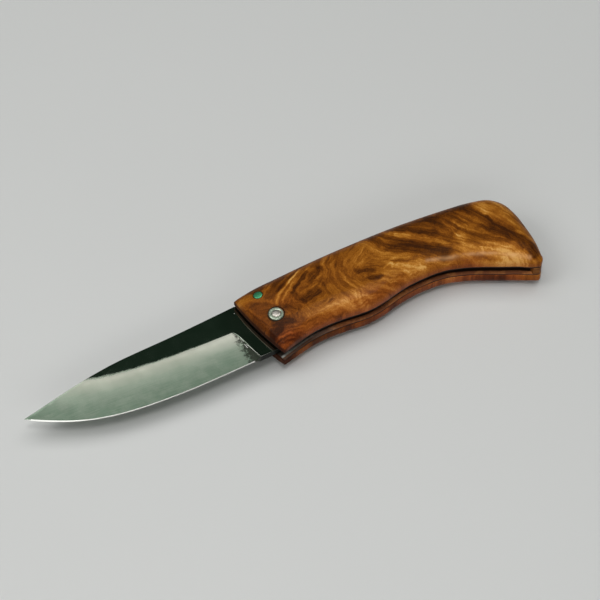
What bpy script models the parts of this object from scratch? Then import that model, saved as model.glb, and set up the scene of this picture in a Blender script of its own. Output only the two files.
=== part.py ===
"""Friction folding knife, open, lying on its right side.

The blade turns on a peened pin between two liners and two wooden scales. There is no spring:
the washers' friction holds the blade. Open, its shoulder rests on the stop pin. Closed, the
flat behind its heel rests under the nose of the back spacer.

Metres, +Z up. The pieces hang on an empty at the crossing of the pivot axis and the blade's
middle plane. From there +X runs to the butt and +Y to the spine.
"""

import math

import bmesh
import bpy
import numpy as np

# Gaps and fits
HOLE_GAP = 0.00008
RUNNING_GAP = 0.00008
SEAT_GAP = 0.00005
STOP_GAP = 0.00012
EDGE_CLEARANCE = 0.001
TIP_CLEARANCE = 0.0018
OVERRUN = 0.001
MERGE_DISTANCE = 0.000005

# Handle outline
HANDLE_LENGTH = 0.1069
HANDLE_WIDTH = 0.0362
FRONT_OVERHANG = 0.0096
BUTT_WALL = 0.0043
SPACER_DEPTH = 0.0073

# Scale section
SCALE_THICKNESS = 0.0063
LIP_HEIGHT = 0.0014
EDGE_ROUNDING = 0.0072
FRONT_ROUNDING = 0.0016
FRONT_FALL = 0.0024
CROWN_DISTANCE = 0.0138

# Liners
LINER_THICKNESS = 0.0005
LINER_INSET = 0.0001

# Blade
BLADE_THICKNESS = 0.0024
BLADE_HEIGHT = 0.0263
BEVEL_HEIGHT_AT_HEEL = 0.0140
BEVEL_HEIGHT_AT_TIP = 0.0172
EDGE_THICKNESS = 0.0001
SHARPENED_HEIGHT = 0.0009
SHARPENED_THICKNESS = 0.0004
PLUNGE_RADIUS = 0.005
PLUNGE_SETBACK = 0.0034
PLUNGE_SLANT = math.radians(6.5)
SLANT_GROWTH = 3
CLOSED_ANGLE = math.radians(183)

# Pivot
PIVOT_DIAMETER = 0.0024
PIVOT_HEAD_DIAMETER = 0.0030
PIVOT_HEAD_HEIGHT = 0.00035
INNER_WASHER_DIAMETER = 0.009
INNER_WASHER_THICKNESS = 0.00025
OUTER_WASHER_DIAMETER = 0.0055
OUTER_WASHER_THICKNESS = 0.0011
OUTER_WASHER_STANDING = 0.0004
OUTER_WASHER_CHAMFER = 0.0003
OUTER_WASHER_DISH = 0.00025

# Other pins
STOP_PIN_DIAMETER = 0.003
STOP_PIN_FORWARD = 0.0022
STOP_PIN_RISE = 0.0103
STOP_PIN_CHAMFER = 0.0002
SPACER_PIN_DIAMETER = 0.002

# Points on each curve
FINE_STEPS = 1200
COARSE_STEPS = 150
RIM_STATIONS = 46
ACROSS_STEPS = 18
RAMP_STEPS = 5
BLADE_SPINE_STEPS = 34
BLADE_EDGE_STEPS = 52
TANG_STEPS = 34
GRIND_STATIONS = 40
GRIND_CROWDING = 1.4
PLUNGE_STATIONS = 7
CLOSED_EDGE_STEPS = 40
TIP_ARC_STEPS = 14
DOME_STEPS = 6
ROUND_SIDES = 40
SHARP_ANGLE = math.radians(35)

# Stations in the rounding behind the scale's front edge, as shares of its width
FRONT_STATION_SHARES = (0, 0.12, 0.4, 0.75, 1.25)

# Rim of the handle, as shares of its length from the front and of its width from the hook
SPINE_SHARES = (
    (0.000, 0.812),
    (0.066, 0.851),
    (0.165, 0.887),
    (0.292, 0.934),
    (0.451, 0.975),
    (0.608, 0.998),
    (0.772, 0.994),
    (0.878, 0.975),
    (0.942, 0.927),
    (0.981, 0.812),
    (0.997, 0.644),
    (1.000, 0.456),
)
BUTT_SHARES = (
    (1.000, 0.456),
    (0.998, 0.262),
    (0.990, 0.110),
    (0.985, 0.040),
    (0.971, 0.000),
)
BELLY_SHARES = (
    (0.064, 0.075),
    (0.121, 0.133),
    (0.178, 0.182),
    (0.239, 0.207),
    (0.310, 0.210),
    (0.380, 0.204),
    (0.436, 0.229),
    (0.492, 0.279),
    (0.553, 0.323),
    (0.628, 0.345),
    (0.689, 0.337),
    (0.749, 0.290),
    (0.801, 0.229),
    (0.857, 0.152),
    (0.904, 0.091),
    (0.946, 0.025),
    (0.971, 0.000),
)

# Blade outline, as shares of its reach from the pivot and of its height above the pivot
BLADE_SPINE_SHARES = (
    (0.108, 0.529),
    (0.356, 0.416),
    (0.602, 0.323),
    (0.682, 0.272),
    (0.758, 0.212),
    (0.834, 0.147),
    (0.900, 0.086),
    (0.955, 0.034),
    (1.000, -0.008),
)
BLADE_EDGE_SHARES = (
    (1.000, -0.008),
    (0.983, -0.058),
    (0.957, -0.114),
    (0.896, -0.221),
    (0.837, -0.308),
    (0.767, -0.384),
    (0.681, -0.441),
    (0.582, -0.468),
    (0.492, -0.472),
    (0.401, -0.464),
    (0.307, -0.443),
    (0.210, -0.414),
    (0.112, -0.384),
)

# Middle of the ramp from the shoulder up to the spine, as shares of its run and of its rise
RAMP_SHARES = (0.5, 0.667)

# Places of the spacer's pins, as shares of the handle's length from the front
SPACER_PIN_SHARES = {"front": 0.150, "middle": 0.500, "rear": 0.895}

# Each material's colour, roughness and metallic value
MATERIALS = {
    "polished_steel": ((0.62, 0.63, 0.62), 0.15, 1),
    "liner_steel": ((0.45, 0.45, 0.44), 0.35, 1),
    "nickel_silver": ((0.70, 0.71, 0.62), 0.25, 1),
    "bronze": ((0.56, 0.38, 0.20), 0.35, 1),
    "burl_wood": ((0.38, 0.20, 0.08), 0.30, 0),
    "spacer_wood": ((0.42, 0.24, 0.11), 0.40, 0),
}

# Sizes that follow from the ones above
PIVOT_RADIUS = PIVOT_DIAMETER / 2
STOP_PIN_RADIUS = STOP_PIN_DIAMETER / 2
BLADE_REACH = HANDLE_LENGTH - FRONT_OVERHANG - BUTT_WALL - TIP_CLEARANCE
EDGE_DROP = -min(share for _, share in BLADE_EDGE_SHARES) * BLADE_HEIGHT
SPINE_RISE = EDGE_DROP + EDGE_CLEARANCE + SPACER_DEPTH
HOOK_DROP = HANDLE_WIDTH - SPINE_RISE
TANG_RADIUS = math.hypot(STOP_PIN_FORWARD, STOP_PIN_RISE) - STOP_PIN_RADIUS - STOP_GAP
NOSE_X = STOP_PIN_RADIUS + STOP_GAP - STOP_PIN_FORWARD
HALF_SLOT = BLADE_THICKNESS / 2 + 2 * RUNNING_GAP + INNER_WASHER_THICKNESS
LINER_MIDDLE = HALF_SLOT + LINER_THICKNESS / 2
SCALE_FACE = HALF_SLOT + LINER_THICKNESS + SEAT_GAP
HALF_HANDLE = SCALE_FACE + SCALE_THICKNESS


def smooth_line(points, count):
    """Points evenly spaced along a smooth curve through the given ones.

    Each span is a cubic. Its slope at a point is the mean of the two chords there, each
    weighted by the other's length."""
    places = np.asarray(points, dtype=float)
    steps = np.sqrt(np.linalg.norm(np.diff(places, axis=0), axis=1))
    knots = np.concatenate([[0], np.cumsum(steps)])
    chords = np.diff(places, axis=0) / steps[:, None]
    weight = (steps[:-1] / (steps[:-1] + steps[1:]))[:, None]
    inner = chords[1:] * weight + chords[:-1] * (1 - weight)
    first = 1.5 * chords[:1] - inner[:1] / 2
    last = 1.5 * chords[-1:] - inner[-1:] / 2
    slopes = np.concatenate([first, inner, last])
    at = np.linspace(0, knots[-1], FINE_STEPS)
    span = np.clip(np.searchsorted(knots, at, side="right") - 1, 0, len(steps) - 1)
    t = ((at - knots[span]) / steps[span])[:, None]
    width = steps[span][:, None]
    fine = (
        (2 * t**3 - 3 * t**2 + 1) * places[span]
        + (t**3 - 2 * t**2 + t) * width * slopes[span]
        + (3 * t**2 - 2 * t**3) * places[span + 1]
        + (t**3 - t**2) * width * slopes[span + 1]
    )
    return spaced(fine, np.linspace(0, 1, count))


def spaced(line, shares):
    """The points of a line at the given shares of its length."""
    runs = np.linalg.norm(np.diff(line, axis=0), axis=1)
    along = np.concatenate([[0], np.cumsum(runs)]) / runs.sum()
    return np.stack([np.interp(shares, along, line[:, k]) for k in range(2)], axis=1)


def handle_points(shares):
    """Shares of the handle's length and width as places from the pivot."""
    table = np.asarray(shares)
    x = table[:, 0] * HANDLE_LENGTH - FRONT_OVERHANG
    y = table[:, 1] * HANDLE_WIDTH - HOOK_DROP
    return np.stack([x, y], axis=1)


def blade_points(shares):
    """Shares of the blade's reach and height as places from the pivot."""
    table = np.asarray(shares)
    return np.stack([-table[:, 0] * BLADE_REACH, table[:, 1] * BLADE_HEIGHT], axis=1)


def spine_rim(count):
    """The handle's rim from its front corner along the spine to the butt."""
    return smooth_line(handle_points(SPINE_SHARES), count)


def belly_rim(count):
    """The handle's rim from its front corner along the belly and round the hook to the butt."""
    belly = smooth_line(handle_points(BELLY_SHARES), FINE_STEPS)
    butt = smooth_line(handle_points(BUTT_SHARES), FINE_STEPS)[::-1]
    return spaced(np.concatenate([belly, butt[1:]]), np.linspace(0, 1, count))


def rim_shares():
    """Shares of each side of the rim at which its points stand, close together in front."""
    near = np.array(FRONT_STATION_SHARES) * FRONT_ROUNDING / HANDLE_LENGTH
    return np.concatenate([near[:-1], np.linspace(near[-1], 1, RIM_STATIONS)])


def rim_polygon():
    """The whole rim, anticlockwise: the belly's side, then the spine's side back."""
    shares = rim_shares()
    belly = spaced(belly_rim(FINE_STEPS), shares)
    return np.concatenate([belly, spaced(spine_rim(FINE_STEPS), shares)[-2::-1]])


def drawn_in(polygon, inset):
    """An anticlockwise polygon with each point moved inwards, square to the rim there."""
    along = np.roll(polygon, -1, axis=0) - np.roll(polygon, 1, axis=0)
    inward = np.stack([-along[:, 1], along[:, 0]], axis=1)
    return polygon + inset * inward / np.linalg.norm(inward, axis=1)[:, None]


def distance_to(places, line):
    """Shortest distance from each place to a line that runs on straight past its ends."""
    before = line[0] + (line[0] - line[1]) * FINE_STEPS
    after = line[-1] + (line[-1] - line[-2]) * FINE_STEPS
    line = np.concatenate([[before], line, [after]])
    start = line[:-1][None]
    run = np.diff(line, axis=0)[None]
    offset = places[:, None] - start
    share = np.clip((offset * run).sum(-1) / (run * run).sum(-1), 0, 1)
    return np.linalg.norm(offset - share[..., None] * run, axis=-1).min(axis=1)


def rounding(distance, radius):
    """Height share of a quarter ellipse that starts upright at the rim."""
    share = np.clip(distance / radius, 0, 1)
    return np.sqrt(share * (2 - share))


def scale_heights(places):
    """Height of a scale's outer surface above its inner face.

    It is flat in the middle, falls along the rim by a quarter ellipse, and grows thinner
    towards the front as the square of the way left to the crown."""
    belly = smooth_line(handle_points(BELLY_SHARES[:-1]), COARSE_STEPS)
    back = np.concatenate([handle_points(SPINE_SHARES), handle_points(BUTT_SHARES[1:3])])
    back = smooth_line(back, COARSE_STEPS)
    front = np.stack([back[0], belly[0]])
    from_front = distance_to(places, front)
    to_crown = 1 - np.clip(from_front / CROWN_DISTANCE, 0, 1)
    thickness = SCALE_THICKNESS - FRONT_FALL * to_crown**2
    share = rounding(distance_to(places, belly), EDGE_ROUNDING)
    share = share * rounding(distance_to(places, back), EDGE_ROUNDING)
    share = share * rounding(from_front, FRONT_ROUNDING)
    return LIP_HEIGHT + (thickness - LIP_HEIGHT) * share


def turned_by(places, angle):
    """Places turned anticlockwise about the pivot."""
    c, s = math.cos(angle), math.sin(angle)
    return np.stack([c * places[:, 0] - s * places[:, 1], s * places[:, 0] + c * places[:, 1]], axis=1)


def arc(radius, start, end, count):
    """Points on a circle about the pivot."""
    angles = np.linspace(start, end, count)
    return radius * np.stack([np.cos(angles), np.sin(angles)], axis=1)


def tang_tangent():
    """Angle about the pivot at which the flat behind the heel runs into the round tang."""
    heel = blade_points(BLADE_EDGE_SHARES)[-1]
    reach = math.hypot(*heel)
    return math.atan2(heel[1], heel[0]) + math.acos(TANG_RADIUS / reach)


def blade_outline():
    """The blade's outline, anticlockwise from the shoulder at the stop pin."""
    shoulder_x = -STOP_PIN_FORWARD - STOP_PIN_RADIUS - STOP_GAP
    shoulder = np.array([shoulder_x, STOP_PIN_RISE + STOP_PIN_RADIUS])
    spine = blade_points(BLADE_SPINE_SHARES)
    ramp_middle = shoulder + (spine[0] - shoulder) * RAMP_SHARES
    ramp = smooth_line([shoulder, ramp_middle, spine[0]], RAMP_STEPS)
    spine = smooth_line(spine, BLADE_SPINE_STEPS)
    edge = smooth_line(blade_points(BLADE_EDGE_SHARES), BLADE_EDGE_STEPS)
    root = math.pi - math.acos(-shoulder_x / TANG_RADIUS)
    tang = arc(TANG_RADIUS, tang_tangent(), root, TANG_STEPS)
    return np.concatenate([ramp[:-1], spine[:-1], edge, tang])


def closed_edge():
    """The cutting edge where it lies with the blade closed."""
    edge = smooth_line(blade_points(BLADE_EDGE_SHARES), CLOSED_EDGE_STEPS)
    return turned_by(edge, CLOSED_ANGLE)


def spacer_outer_line():
    """The spacer's outer side, from where the tip's path crosses the hook round to the nose."""
    rim = drawn_in(rim_polygon(), LINER_INSET)
    reach = BLADE_REACH + TIP_CLEARANCE
    far = np.hypot(*rim.T)
    first = np.argmax(far > reach)
    share = (reach - far[first - 1]) / (far[first] - far[first - 1])
    mouth = rim[first - 1] + share * (rim[first] - rim[first - 1])
    last = first + np.argmax(rim[first:, 0] < NOSE_X)
    share = (NOSE_X - rim[last - 1, 0]) / (rim[last, 0] - rim[last - 1, 0])
    nose_top = rim[last - 1] + share * (rim[last] - rim[last - 1])
    return np.concatenate([[mouth], rim[first:last], [nose_top]])


def spacer_inner_line():
    """The spacer's inner side, from the hook round the closed blade to the nose.

    It is an arc round the tip's path, then the closed edge with its clearance, then the
    landing for the flat behind the heel."""
    reach = BLADE_REACH + TIP_CLEARANCE
    edge = closed_edge()
    tip_angle = math.atan2(edge[0, 1], edge[0, 0])
    mouth = spacer_outer_line()[0]
    tip_arc = arc(reach, math.atan2(mouth[1], mouth[0]), tip_angle, TIP_ARC_STEPS)
    along = np.gradient(edge, axis=0)
    outward = np.stack([along[:, 1], -along[:, 0]], axis=1)
    outward /= np.linalg.norm(outward, axis=1)[:, None]
    clear = edge + EDGE_CLEARANCE * outward
    clear = clear[(np.hypot(*clear.T) < reach - TIP_CLEARANCE / 2) & (clear[:, 0] > edge[-1, 0])]
    angle = tang_tangent() + CLOSED_ANGLE
    normal = np.array([math.cos(angle), math.sin(angle)])
    level = TANG_RADIUS + STOP_GAP
    landing_x = np.array([edge[-1, 0] + EDGE_CLEARANCE / 2, NOSE_X])
    landing = np.stack([landing_x, (level - normal[0] * landing_x) / normal[1]], axis=1)
    clear = clear[clear[:, 0] > landing_x[0] + EDGE_CLEARANCE / 2]
    return np.concatenate([tip_arc, clear, landing])


def spacer_outline():
    """The spacer's outline, anticlockwise."""
    return np.concatenate([spacer_outer_line(), spacer_inner_line()[:0:-1]])


def spacer_middle(share):
    """The place midway between the spacer's two sides, at a share of the handle's length."""
    x = share * HANDLE_LENGTH - FRONT_OVERHANG
    spine = spine_rim(FINE_STEPS)
    inner = spacer_inner_line()[::-1]
    top = np.interp(x, spine[:, 0], spine[:, 1])
    inner = inner[: np.argmax(inner[:, 0])]
    return x, (top + np.interp(x, inner[:, 0], inner[:, 1])) / 2


def new_collection(name):
    collection = bpy.data.collections.new(name)
    bpy.context.scene.collection.children.link(collection)
    return collection


def new_material(name):
    colour, roughness, metallic = MATERIALS[name]
    material = bpy.data.materials.new(name)
    material.use_nodes = True
    surface = material.node_tree.nodes["Principled BSDF"]
    surface.inputs["Base Color"].default_value = (*colour, 1)
    surface.inputs["Roughness"].default_value = roughness
    surface.inputs["Metallic"].default_value = metallic
    return material


def placed(obj, collection, parent, material=None):
    """Puts an object in a collection and hangs it on its parent."""
    for other in list(obj.users_collection):
        other.objects.unlink(obj)
    collection.objects.link(obj)
    obj.parent = parent
    if material:
        obj.data.materials.clear()
        obj.data.materials.append(material)
    return obj


def plate(name, outline, thickness):
    """A flat plate: its outline as a filled curve with thickness, made a welded mesh."""
    curve = bpy.data.curves.new(name, "CURVE")
    curve.dimensions = "2D"
    curve.fill_mode = "BOTH"
    curve.extrude = thickness / 2
    spline = curve.splines.new("POLY")
    spline.points.add(len(outline) - 1)
    spline.points.foreach_set("co", np.pad(outline, ((0, 0), (0, 2))).ravel())
    spline.use_cyclic_u = True
    source = bpy.data.objects.new(name + "_outline", curve)
    bpy.context.scene.collection.objects.link(source)
    evaluated = source.evaluated_get(bpy.context.evaluated_depsgraph_get())
    mesh = bpy.data.meshes.new_from_object(evaluated)
    mesh.name = name
    work = bmesh.new()
    work.from_mesh(mesh)
    bmesh.ops.remove_doubles(work, verts=work.verts, dist=MERGE_DISTANCE)
    bmesh.ops.recalc_face_normals(work, faces=work.faces)
    work.to_mesh(mesh)
    work.free()
    obj = bpy.data.objects.new(name, mesh)
    obj.matrix_world = source.matrix_world
    bpy.data.objects.remove(source)
    bpy.context.scene.collection.objects.link(obj)
    return obj


def lofted(name, sections):
    """A closed solid through sections with equal point counts, capped at both ends."""
    sections = np.asarray(sections)
    stations, ring = sections.shape[:2]
    index = np.arange(stations * ring).reshape(stations, ring)
    ahead = np.roll(index, -1, axis=1)
    quads = np.stack([index[:-1], ahead[:-1], ahead[1:], index[1:]], axis=-1).reshape(-1, 4)
    faces = quads.tolist() + [index[0].tolist(), index[-1][::-1].tolist()]
    mesh = bpy.data.meshes.new(name)
    mesh.from_pydata(sections.reshape(-1, 3).tolist(), [], faces)
    work = bmesh.new()
    work.from_mesh(mesh)
    bmesh.ops.remove_doubles(work, verts=work.verts, dist=MERGE_DISTANCE)
    bmesh.ops.recalc_face_normals(work, faces=work.faces)
    work.to_mesh(mesh)
    work.free()
    obj = bpy.data.objects.new(name, mesh)
    bpy.context.scene.collection.objects.link(obj)
    return obj


def round_bar(name, radius, length):
    """An upright cylinder about the pivot empty's own axis."""
    bpy.ops.mesh.primitive_cylinder_add(vertices=ROUND_SIDES, radius=radius, depth=length)
    bar = bpy.context.object
    bar.name = name
    bar.data.name = name
    shade_round(bar)
    return bar


def shade_round(obj):
    obj.data.shade_smooth()
    obj.data.set_sharp_from_angle(angle=SHARP_ANGLE)


def turned(name, profile, closed):
    """A solid of revolution: a profile that runs down its outer side, with a Screw modifier."""
    mesh = bpy.data.meshes.new(name)
    count = len(profile)
    edges = [(k, k + 1) for k in range(count - 1)]
    if closed:
        edges.append((count - 1, 0))
    mesh.from_pydata([(x, 0, z) for x, z in profile], edges, [])
    obj = bpy.data.objects.new(name, mesh)
    bpy.context.scene.collection.objects.link(obj)
    screw = obj.modifiers.new("Turned", "SCREW")
    screw.steps = ROUND_SIDES
    screw.render_steps = ROUND_SIDES
    screw.use_merge_vertices = True
    screw.merge_threshold = MERGE_DISTANCE
    screw.use_smooth_shade = True
    return obj


def cut(obj, cutter):
    """Takes the cutter's shape out of the object."""
    modifier = obj.modifiers.new("Cut " + cutter.name, "BOOLEAN")
    modifier.operation = "DIFFERENCE"
    modifier.solver = "EXACT"
    modifier.object = cutter
    return modifier


def hidden(cutter, collection, parent):
    placed(cutter, collection, parent)
    cutter.hide_render = True
    cutter.display_type = "WIRE"
    return cutter


def hole_cutter(name, diameter, place, collection, parent):
    """A cutter for the hole that a pin passes through, from face to face of the handle."""
    length = 2 * (HALF_HANDLE + OVERRUN)
    cutter = round_bar(name, diameter / 2 + HOLE_GAP, length)
    hidden(cutter, collection, parent)
    cutter.location = (*place, 0)
    return cutter


def grind_section(x, slant, bevel_height, edge_y, rise):
    """One section of the grinding cutter, from outside the edge to above the bevel's top."""
    half_edge = EDGE_THICKNESS / 2
    half_sharp = SHARPENED_THICKNESS / 2
    half = BLADE_THICKNESS / 2
    gain = (half - half_sharp) / (bevel_height - SHARPENED_HEIGHT)
    top = bevel_height * 2
    outside = -OVERRUN
    across = [outside, 0, SHARPENED_HEIGHT, top, top, outside]
    high = half + gain * (top - bevel_height)
    up = [half_edge, half_edge, half_sharp, high, high + half, high + half]
    lift = [rise, rise, rise, rise, half, half]
    points = []
    for w, z, extra in zip(across, up, lift):
        points.append((x - w * math.sin(slant), edge_y + w * math.cos(slant), z + extra))
    return points


def grind_cutter(name, side, collection, parent):
    """What the grinding wheel takes off one face of the blade.

    Sections stand along the edge. Near the heel they lean back, and past the plunge each one
    is lifted by a circle's rise until it clears the blade."""
    edge = smooth_line(blade_points(BLADE_EDGE_SHARES), FINE_STEPS)
    ahead = edge[0] - (edge[1] - edge[0]) / np.linalg.norm(edge[1] - edge[0]) * OVERRUN
    plunge_x = edge[-1, 0] - PLUNGE_SETBACK
    flat = np.linspace(0, 1, GRIND_STATIONS) ** GRIND_CROWDING
    flat_x = edge[0, 0] + (plunge_x - edge[0, 0]) * flat
    lift_end = BLADE_THICKNESS / 2 + SEAT_GAP
    curl = math.sqrt(2 * PLUNGE_RADIUS * lift_end - lift_end**2)
    rises = np.linspace(0, curl, PLUNGE_STATIONS)[1:]
    x_all = np.concatenate([[ahead[0]], flat_x, plunge_x + rises])
    y_all = np.interp(x_all, edge[:, 0], edge[:, 1])
    y_all[0] = ahead[1]
    past = np.clip(x_all - plunge_x, 0, None)
    lift = PLUNGE_RADIUS - np.sqrt(PLUNGE_RADIUS**2 - past**2)
    share = np.clip((x_all - edge[0, 0]) / (plunge_x - edge[0, 0]), 0, 1)
    slant = PLUNGE_SLANT * share**SLANT_GROWTH
    height = BEVEL_HEIGHT_AT_TIP + (BEVEL_HEIGHT_AT_HEEL - BEVEL_HEIGHT_AT_TIP) * share
    sections = [grind_section(*row) for row in zip(x_all, slant, height, y_all, lift)]
    sections = np.asarray(sections) * (1, 1, side)
    cutter = lofted(name, sections)
    return hidden(cutter, collection, parent)


def make_blade(parts, cutters, pivot, material, pivot_hole):
    blade = plate("blade", blade_outline(), BLADE_THICKNESS)
    placed(blade, parts, pivot, material)
    cut(blade, grind_cutter("grind_left", 1, cutters, pivot))
    cut(blade, grind_cutter("grind_right", -1, cutters, pivot))
    cut(blade, pivot_hole)
    return blade


def scale_sections(side):
    """Sections across the scale, from the front edge to just short of the butt's end."""
    shares = rim_shares()[:-1]
    belly = spaced(belly_rim(FINE_STEPS), shares)
    spine = spaced(spine_rim(FINE_STEPS), shares)
    across = (1 - np.cos(np.linspace(0, math.pi, ACROSS_STEPS))) / 2
    places = belly[:, None] + across[None, :, None] * (spine - belly)[:, None]
    heights = scale_heights(places.reshape(-1, 2)).reshape(places.shape[:2])
    top = np.concatenate([places, side * (SCALE_FACE + heights)[..., None]], axis=-1)
    level = np.full((len(shares), 1), side * SCALE_FACE)
    low_belly = np.concatenate([belly, level], axis=1)[:, None]
    low_spine = np.concatenate([spine, level], axis=1)[:, None]
    return np.concatenate([low_belly, top, low_spine], axis=1)


def make_scale(name, side, parts, pivot, material, cuts):
    """A crowned wooden scale. Its last section shrinks to an upright line at the butt."""
    sections = scale_sections(side)
    end = spine_rim(FINE_STEPS)[-1]
    low = [*end, side * SCALE_FACE]
    high = [*end, side * (SCALE_FACE + LIP_HEIGHT)]
    last = np.array([low] + [high] * ACROSS_STEPS + [low])
    scale = lofted(name, np.concatenate([sections, last[None]]))
    placed(scale, parts, pivot, material)
    for cutter in cuts:
        cut(scale, cutter)
    return scale


def make_liner(name, side, parts, pivot, material, cuts):
    liner = plate(name, drawn_in(rim_polygon(), LINER_INSET), LINER_THICKNESS)
    placed(liner, parts, pivot, material)
    liner.location.z = side * LINER_MIDDLE
    for cutter in cuts:
        cut(liner, cutter)
    return liner


def make_spacer(parts, pivot, material, cuts):
    spacer = plate("back_spacer", spacer_outline(), 2 * (HALF_SLOT - SEAT_GAP))
    placed(spacer, parts, pivot, material)
    for cutter in cuts:
        cut(spacer, cutter)
    return spacer


def seat_height():
    """Height of the scale's surface at the pivot, above the blade's middle plane."""
    return SCALE_FACE + float(scale_heights(np.zeros((1, 2)))[0])


def make_pivot_pin(parts, pivot, material):
    """A shaft with a low dome peened at each end, over the dished washers."""
    dish = seat_height() + OUTER_WASHER_STANDING - OUTER_WASHER_DISH + SEAT_GAP
    angles = np.linspace(0, math.pi / 2, DOME_STEPS)
    dome = [
        (PIVOT_HEAD_DIAMETER / 2 * math.sin(a), dish + PIVOT_HEAD_HEIGHT * math.cos(a))
        for a in angles
    ]
    upper = dome + [(PIVOT_RADIUS, dish)]
    lower = [(x, -z) for x, z in upper[::-1]]
    pin = turned("pivot_pin", upper + lower, closed=False)
    return placed(pin, parts, pivot, material)


def make_outer_washer(name, side, parts, pivot, material):
    """A ring with a chamfered rim and a dished middle, let into the scale."""
    top = OUTER_WASHER_THICKNESS
    outer = OUTER_WASHER_DIAMETER / 2
    bore = PIVOT_RADIUS + HOLE_GAP
    dish_edge = (outer + PIVOT_HEAD_DIAMETER / 2) / 2
    profile = [
        (bore, top - OUTER_WASHER_DISH),
        (dish_edge - OUTER_WASHER_DISH, top - OUTER_WASHER_DISH),
        (dish_edge, top),
        (outer - OUTER_WASHER_CHAMFER, top),
        (outer, top - OUTER_WASHER_CHAMFER),
        (outer, 0),
        (bore, 0),
    ]
    washer = turned(name, profile, closed=True)
    placed(washer, parts, pivot, material)
    washer.location.z = side * (seat_height() + OUTER_WASHER_STANDING - OUTER_WASHER_THICKNESS)
    if side < 0:
        washer.rotation_euler.x = math.pi
    return washer


def washer_seat(name, side, collection, parent):
    """A cutter for the recess that an outer washer sits in."""
    floor = seat_height() + OUTER_WASHER_STANDING - OUTER_WASHER_THICKNESS - SEAT_GAP
    length = HALF_HANDLE + OVERRUN - floor
    cutter = round_bar(name, OUTER_WASHER_DIAMETER / 2 + HOLE_GAP, length)
    hidden(cutter, collection, parent)
    cutter.location.z = side * (floor + length / 2)
    return cutter


def make_inner_washer(name, side, parts, pivot, material):
    outer = INNER_WASHER_DIAMETER / 2
    bore = PIVOT_RADIUS + HOLE_GAP
    half = INNER_WASHER_THICKNESS / 2
    profile = [(bore, half), (outer, half), (outer, -half), (bore, -half)]
    washer = turned(name, profile, closed=True)
    placed(washer, parts, pivot, material)
    washer.location.z = side * (BLADE_THICKNESS / 2 + RUNNING_GAP + half)
    return washer


def make_stop_pin(parts, pivot, material, place):
    """A straight pin, its ends chamfered and level with the scales around it."""
    height = SCALE_FACE + float(scale_heights(np.array([place]))[0])
    pin = round_bar("stop_pin", STOP_PIN_RADIUS, 2 * height)
    placed(pin, parts, pivot, material)
    pin.location = (*place, 0)
    bevel = pin.modifiers.new("Chamfer", "BEVEL")
    bevel.width = STOP_PIN_CHAMFER
    bevel.segments = 1
    bevel.limit_method = "ANGLE"
    return pin


def make_spacer_pin(name, place, parts, pivot, material):
    """A hidden pin through both liners and the spacer, its ends level with the liners."""
    length = 2 * (HALF_SLOT + LINER_THICKNESS)
    pin = round_bar(name, SPACER_PIN_DIAMETER / 2, length)
    placed(pin, parts, pivot, material)
    pin.location = (*place, 0)
    return pin


def pivot_place():
    """Where the pivot stands, so that the knife lies on the ground centred on the origin."""
    handle = rim_polygon()
    low = min(handle[:, 1].min(), blade_outline()[:, 1].min())
    x = (blade_outline()[:, 0].min() + handle[:, 0].max()) / 2
    y = (low + handle[:, 1].max()) / 2
    return -x, -y, HALF_HANDLE


def main():
    for obj in list(bpy.data.objects):
        bpy.data.objects.remove(obj)
    parts = new_collection("friction_folding_knife")
    cutters = new_collection("cutters")
    look = {name: new_material(name) for name in MATERIALS}
    pivot = bpy.data.objects.new("pivot_axis", None)
    parts.objects.link(pivot)
    pivot.location = pivot_place()

    stop_place = (-STOP_PIN_FORWARD, STOP_PIN_RISE)
    pin_places = {key: spacer_middle(share) for key, share in SPACER_PIN_SHARES.items()}
    pivot_hole = hole_cutter("pivot_hole", PIVOT_DIAMETER, (0, 0), cutters, pivot)
    stop_hole = hole_cutter("stop_hole", STOP_PIN_DIAMETER, stop_place, cutters, pivot)
    spacer_holes = [
        hole_cutter("spacer_hole_" + key, SPACER_PIN_DIAMETER, place, cutters, pivot)
        for key, place in pin_places.items()
    ]

    make_blade(parts, cutters, pivot, look["polished_steel"], pivot_hole)
    make_spacer(parts, pivot, look["spacer_wood"], spacer_holes)
    make_pivot_pin(parts, pivot, look["nickel_silver"])
    make_stop_pin(parts, pivot, look["polished_steel"], stop_place)
    for key, place in pin_places.items():
        make_spacer_pin("spacer_pin_" + key, place, parts, pivot, look["liner_steel"])
    for word, side in (("left", 1), ("right", -1)):
        seat = washer_seat("washer_seat_" + word, side, cutters, pivot)
        holes = [pivot_hole, seat, stop_hole]
        make_scale("scale_" + word, side, parts, pivot, look["burl_wood"], holes)
        holes = [pivot_hole, stop_hole, *spacer_holes]
        make_liner("liner_" + word, side, parts, pivot, look["liner_steel"], holes)
        make_outer_washer("outer_washer_" + word, side, parts, pivot, look["nickel_silver"])
        make_inner_washer("inner_washer_" + word, side, parts, pivot, look["bronze"])


main()
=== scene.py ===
"""A friction folding knife, open, lying on its right side on a pale floor.

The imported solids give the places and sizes. Every surface that shows is made again here on a fine
grid, worked out with numpy from the same outlines. Metres, +Z up. Knife places start where the
pivot's axis crosses the blade's middle plane: +X runs to the butt and +Y to the spine.
"""

import math

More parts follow.
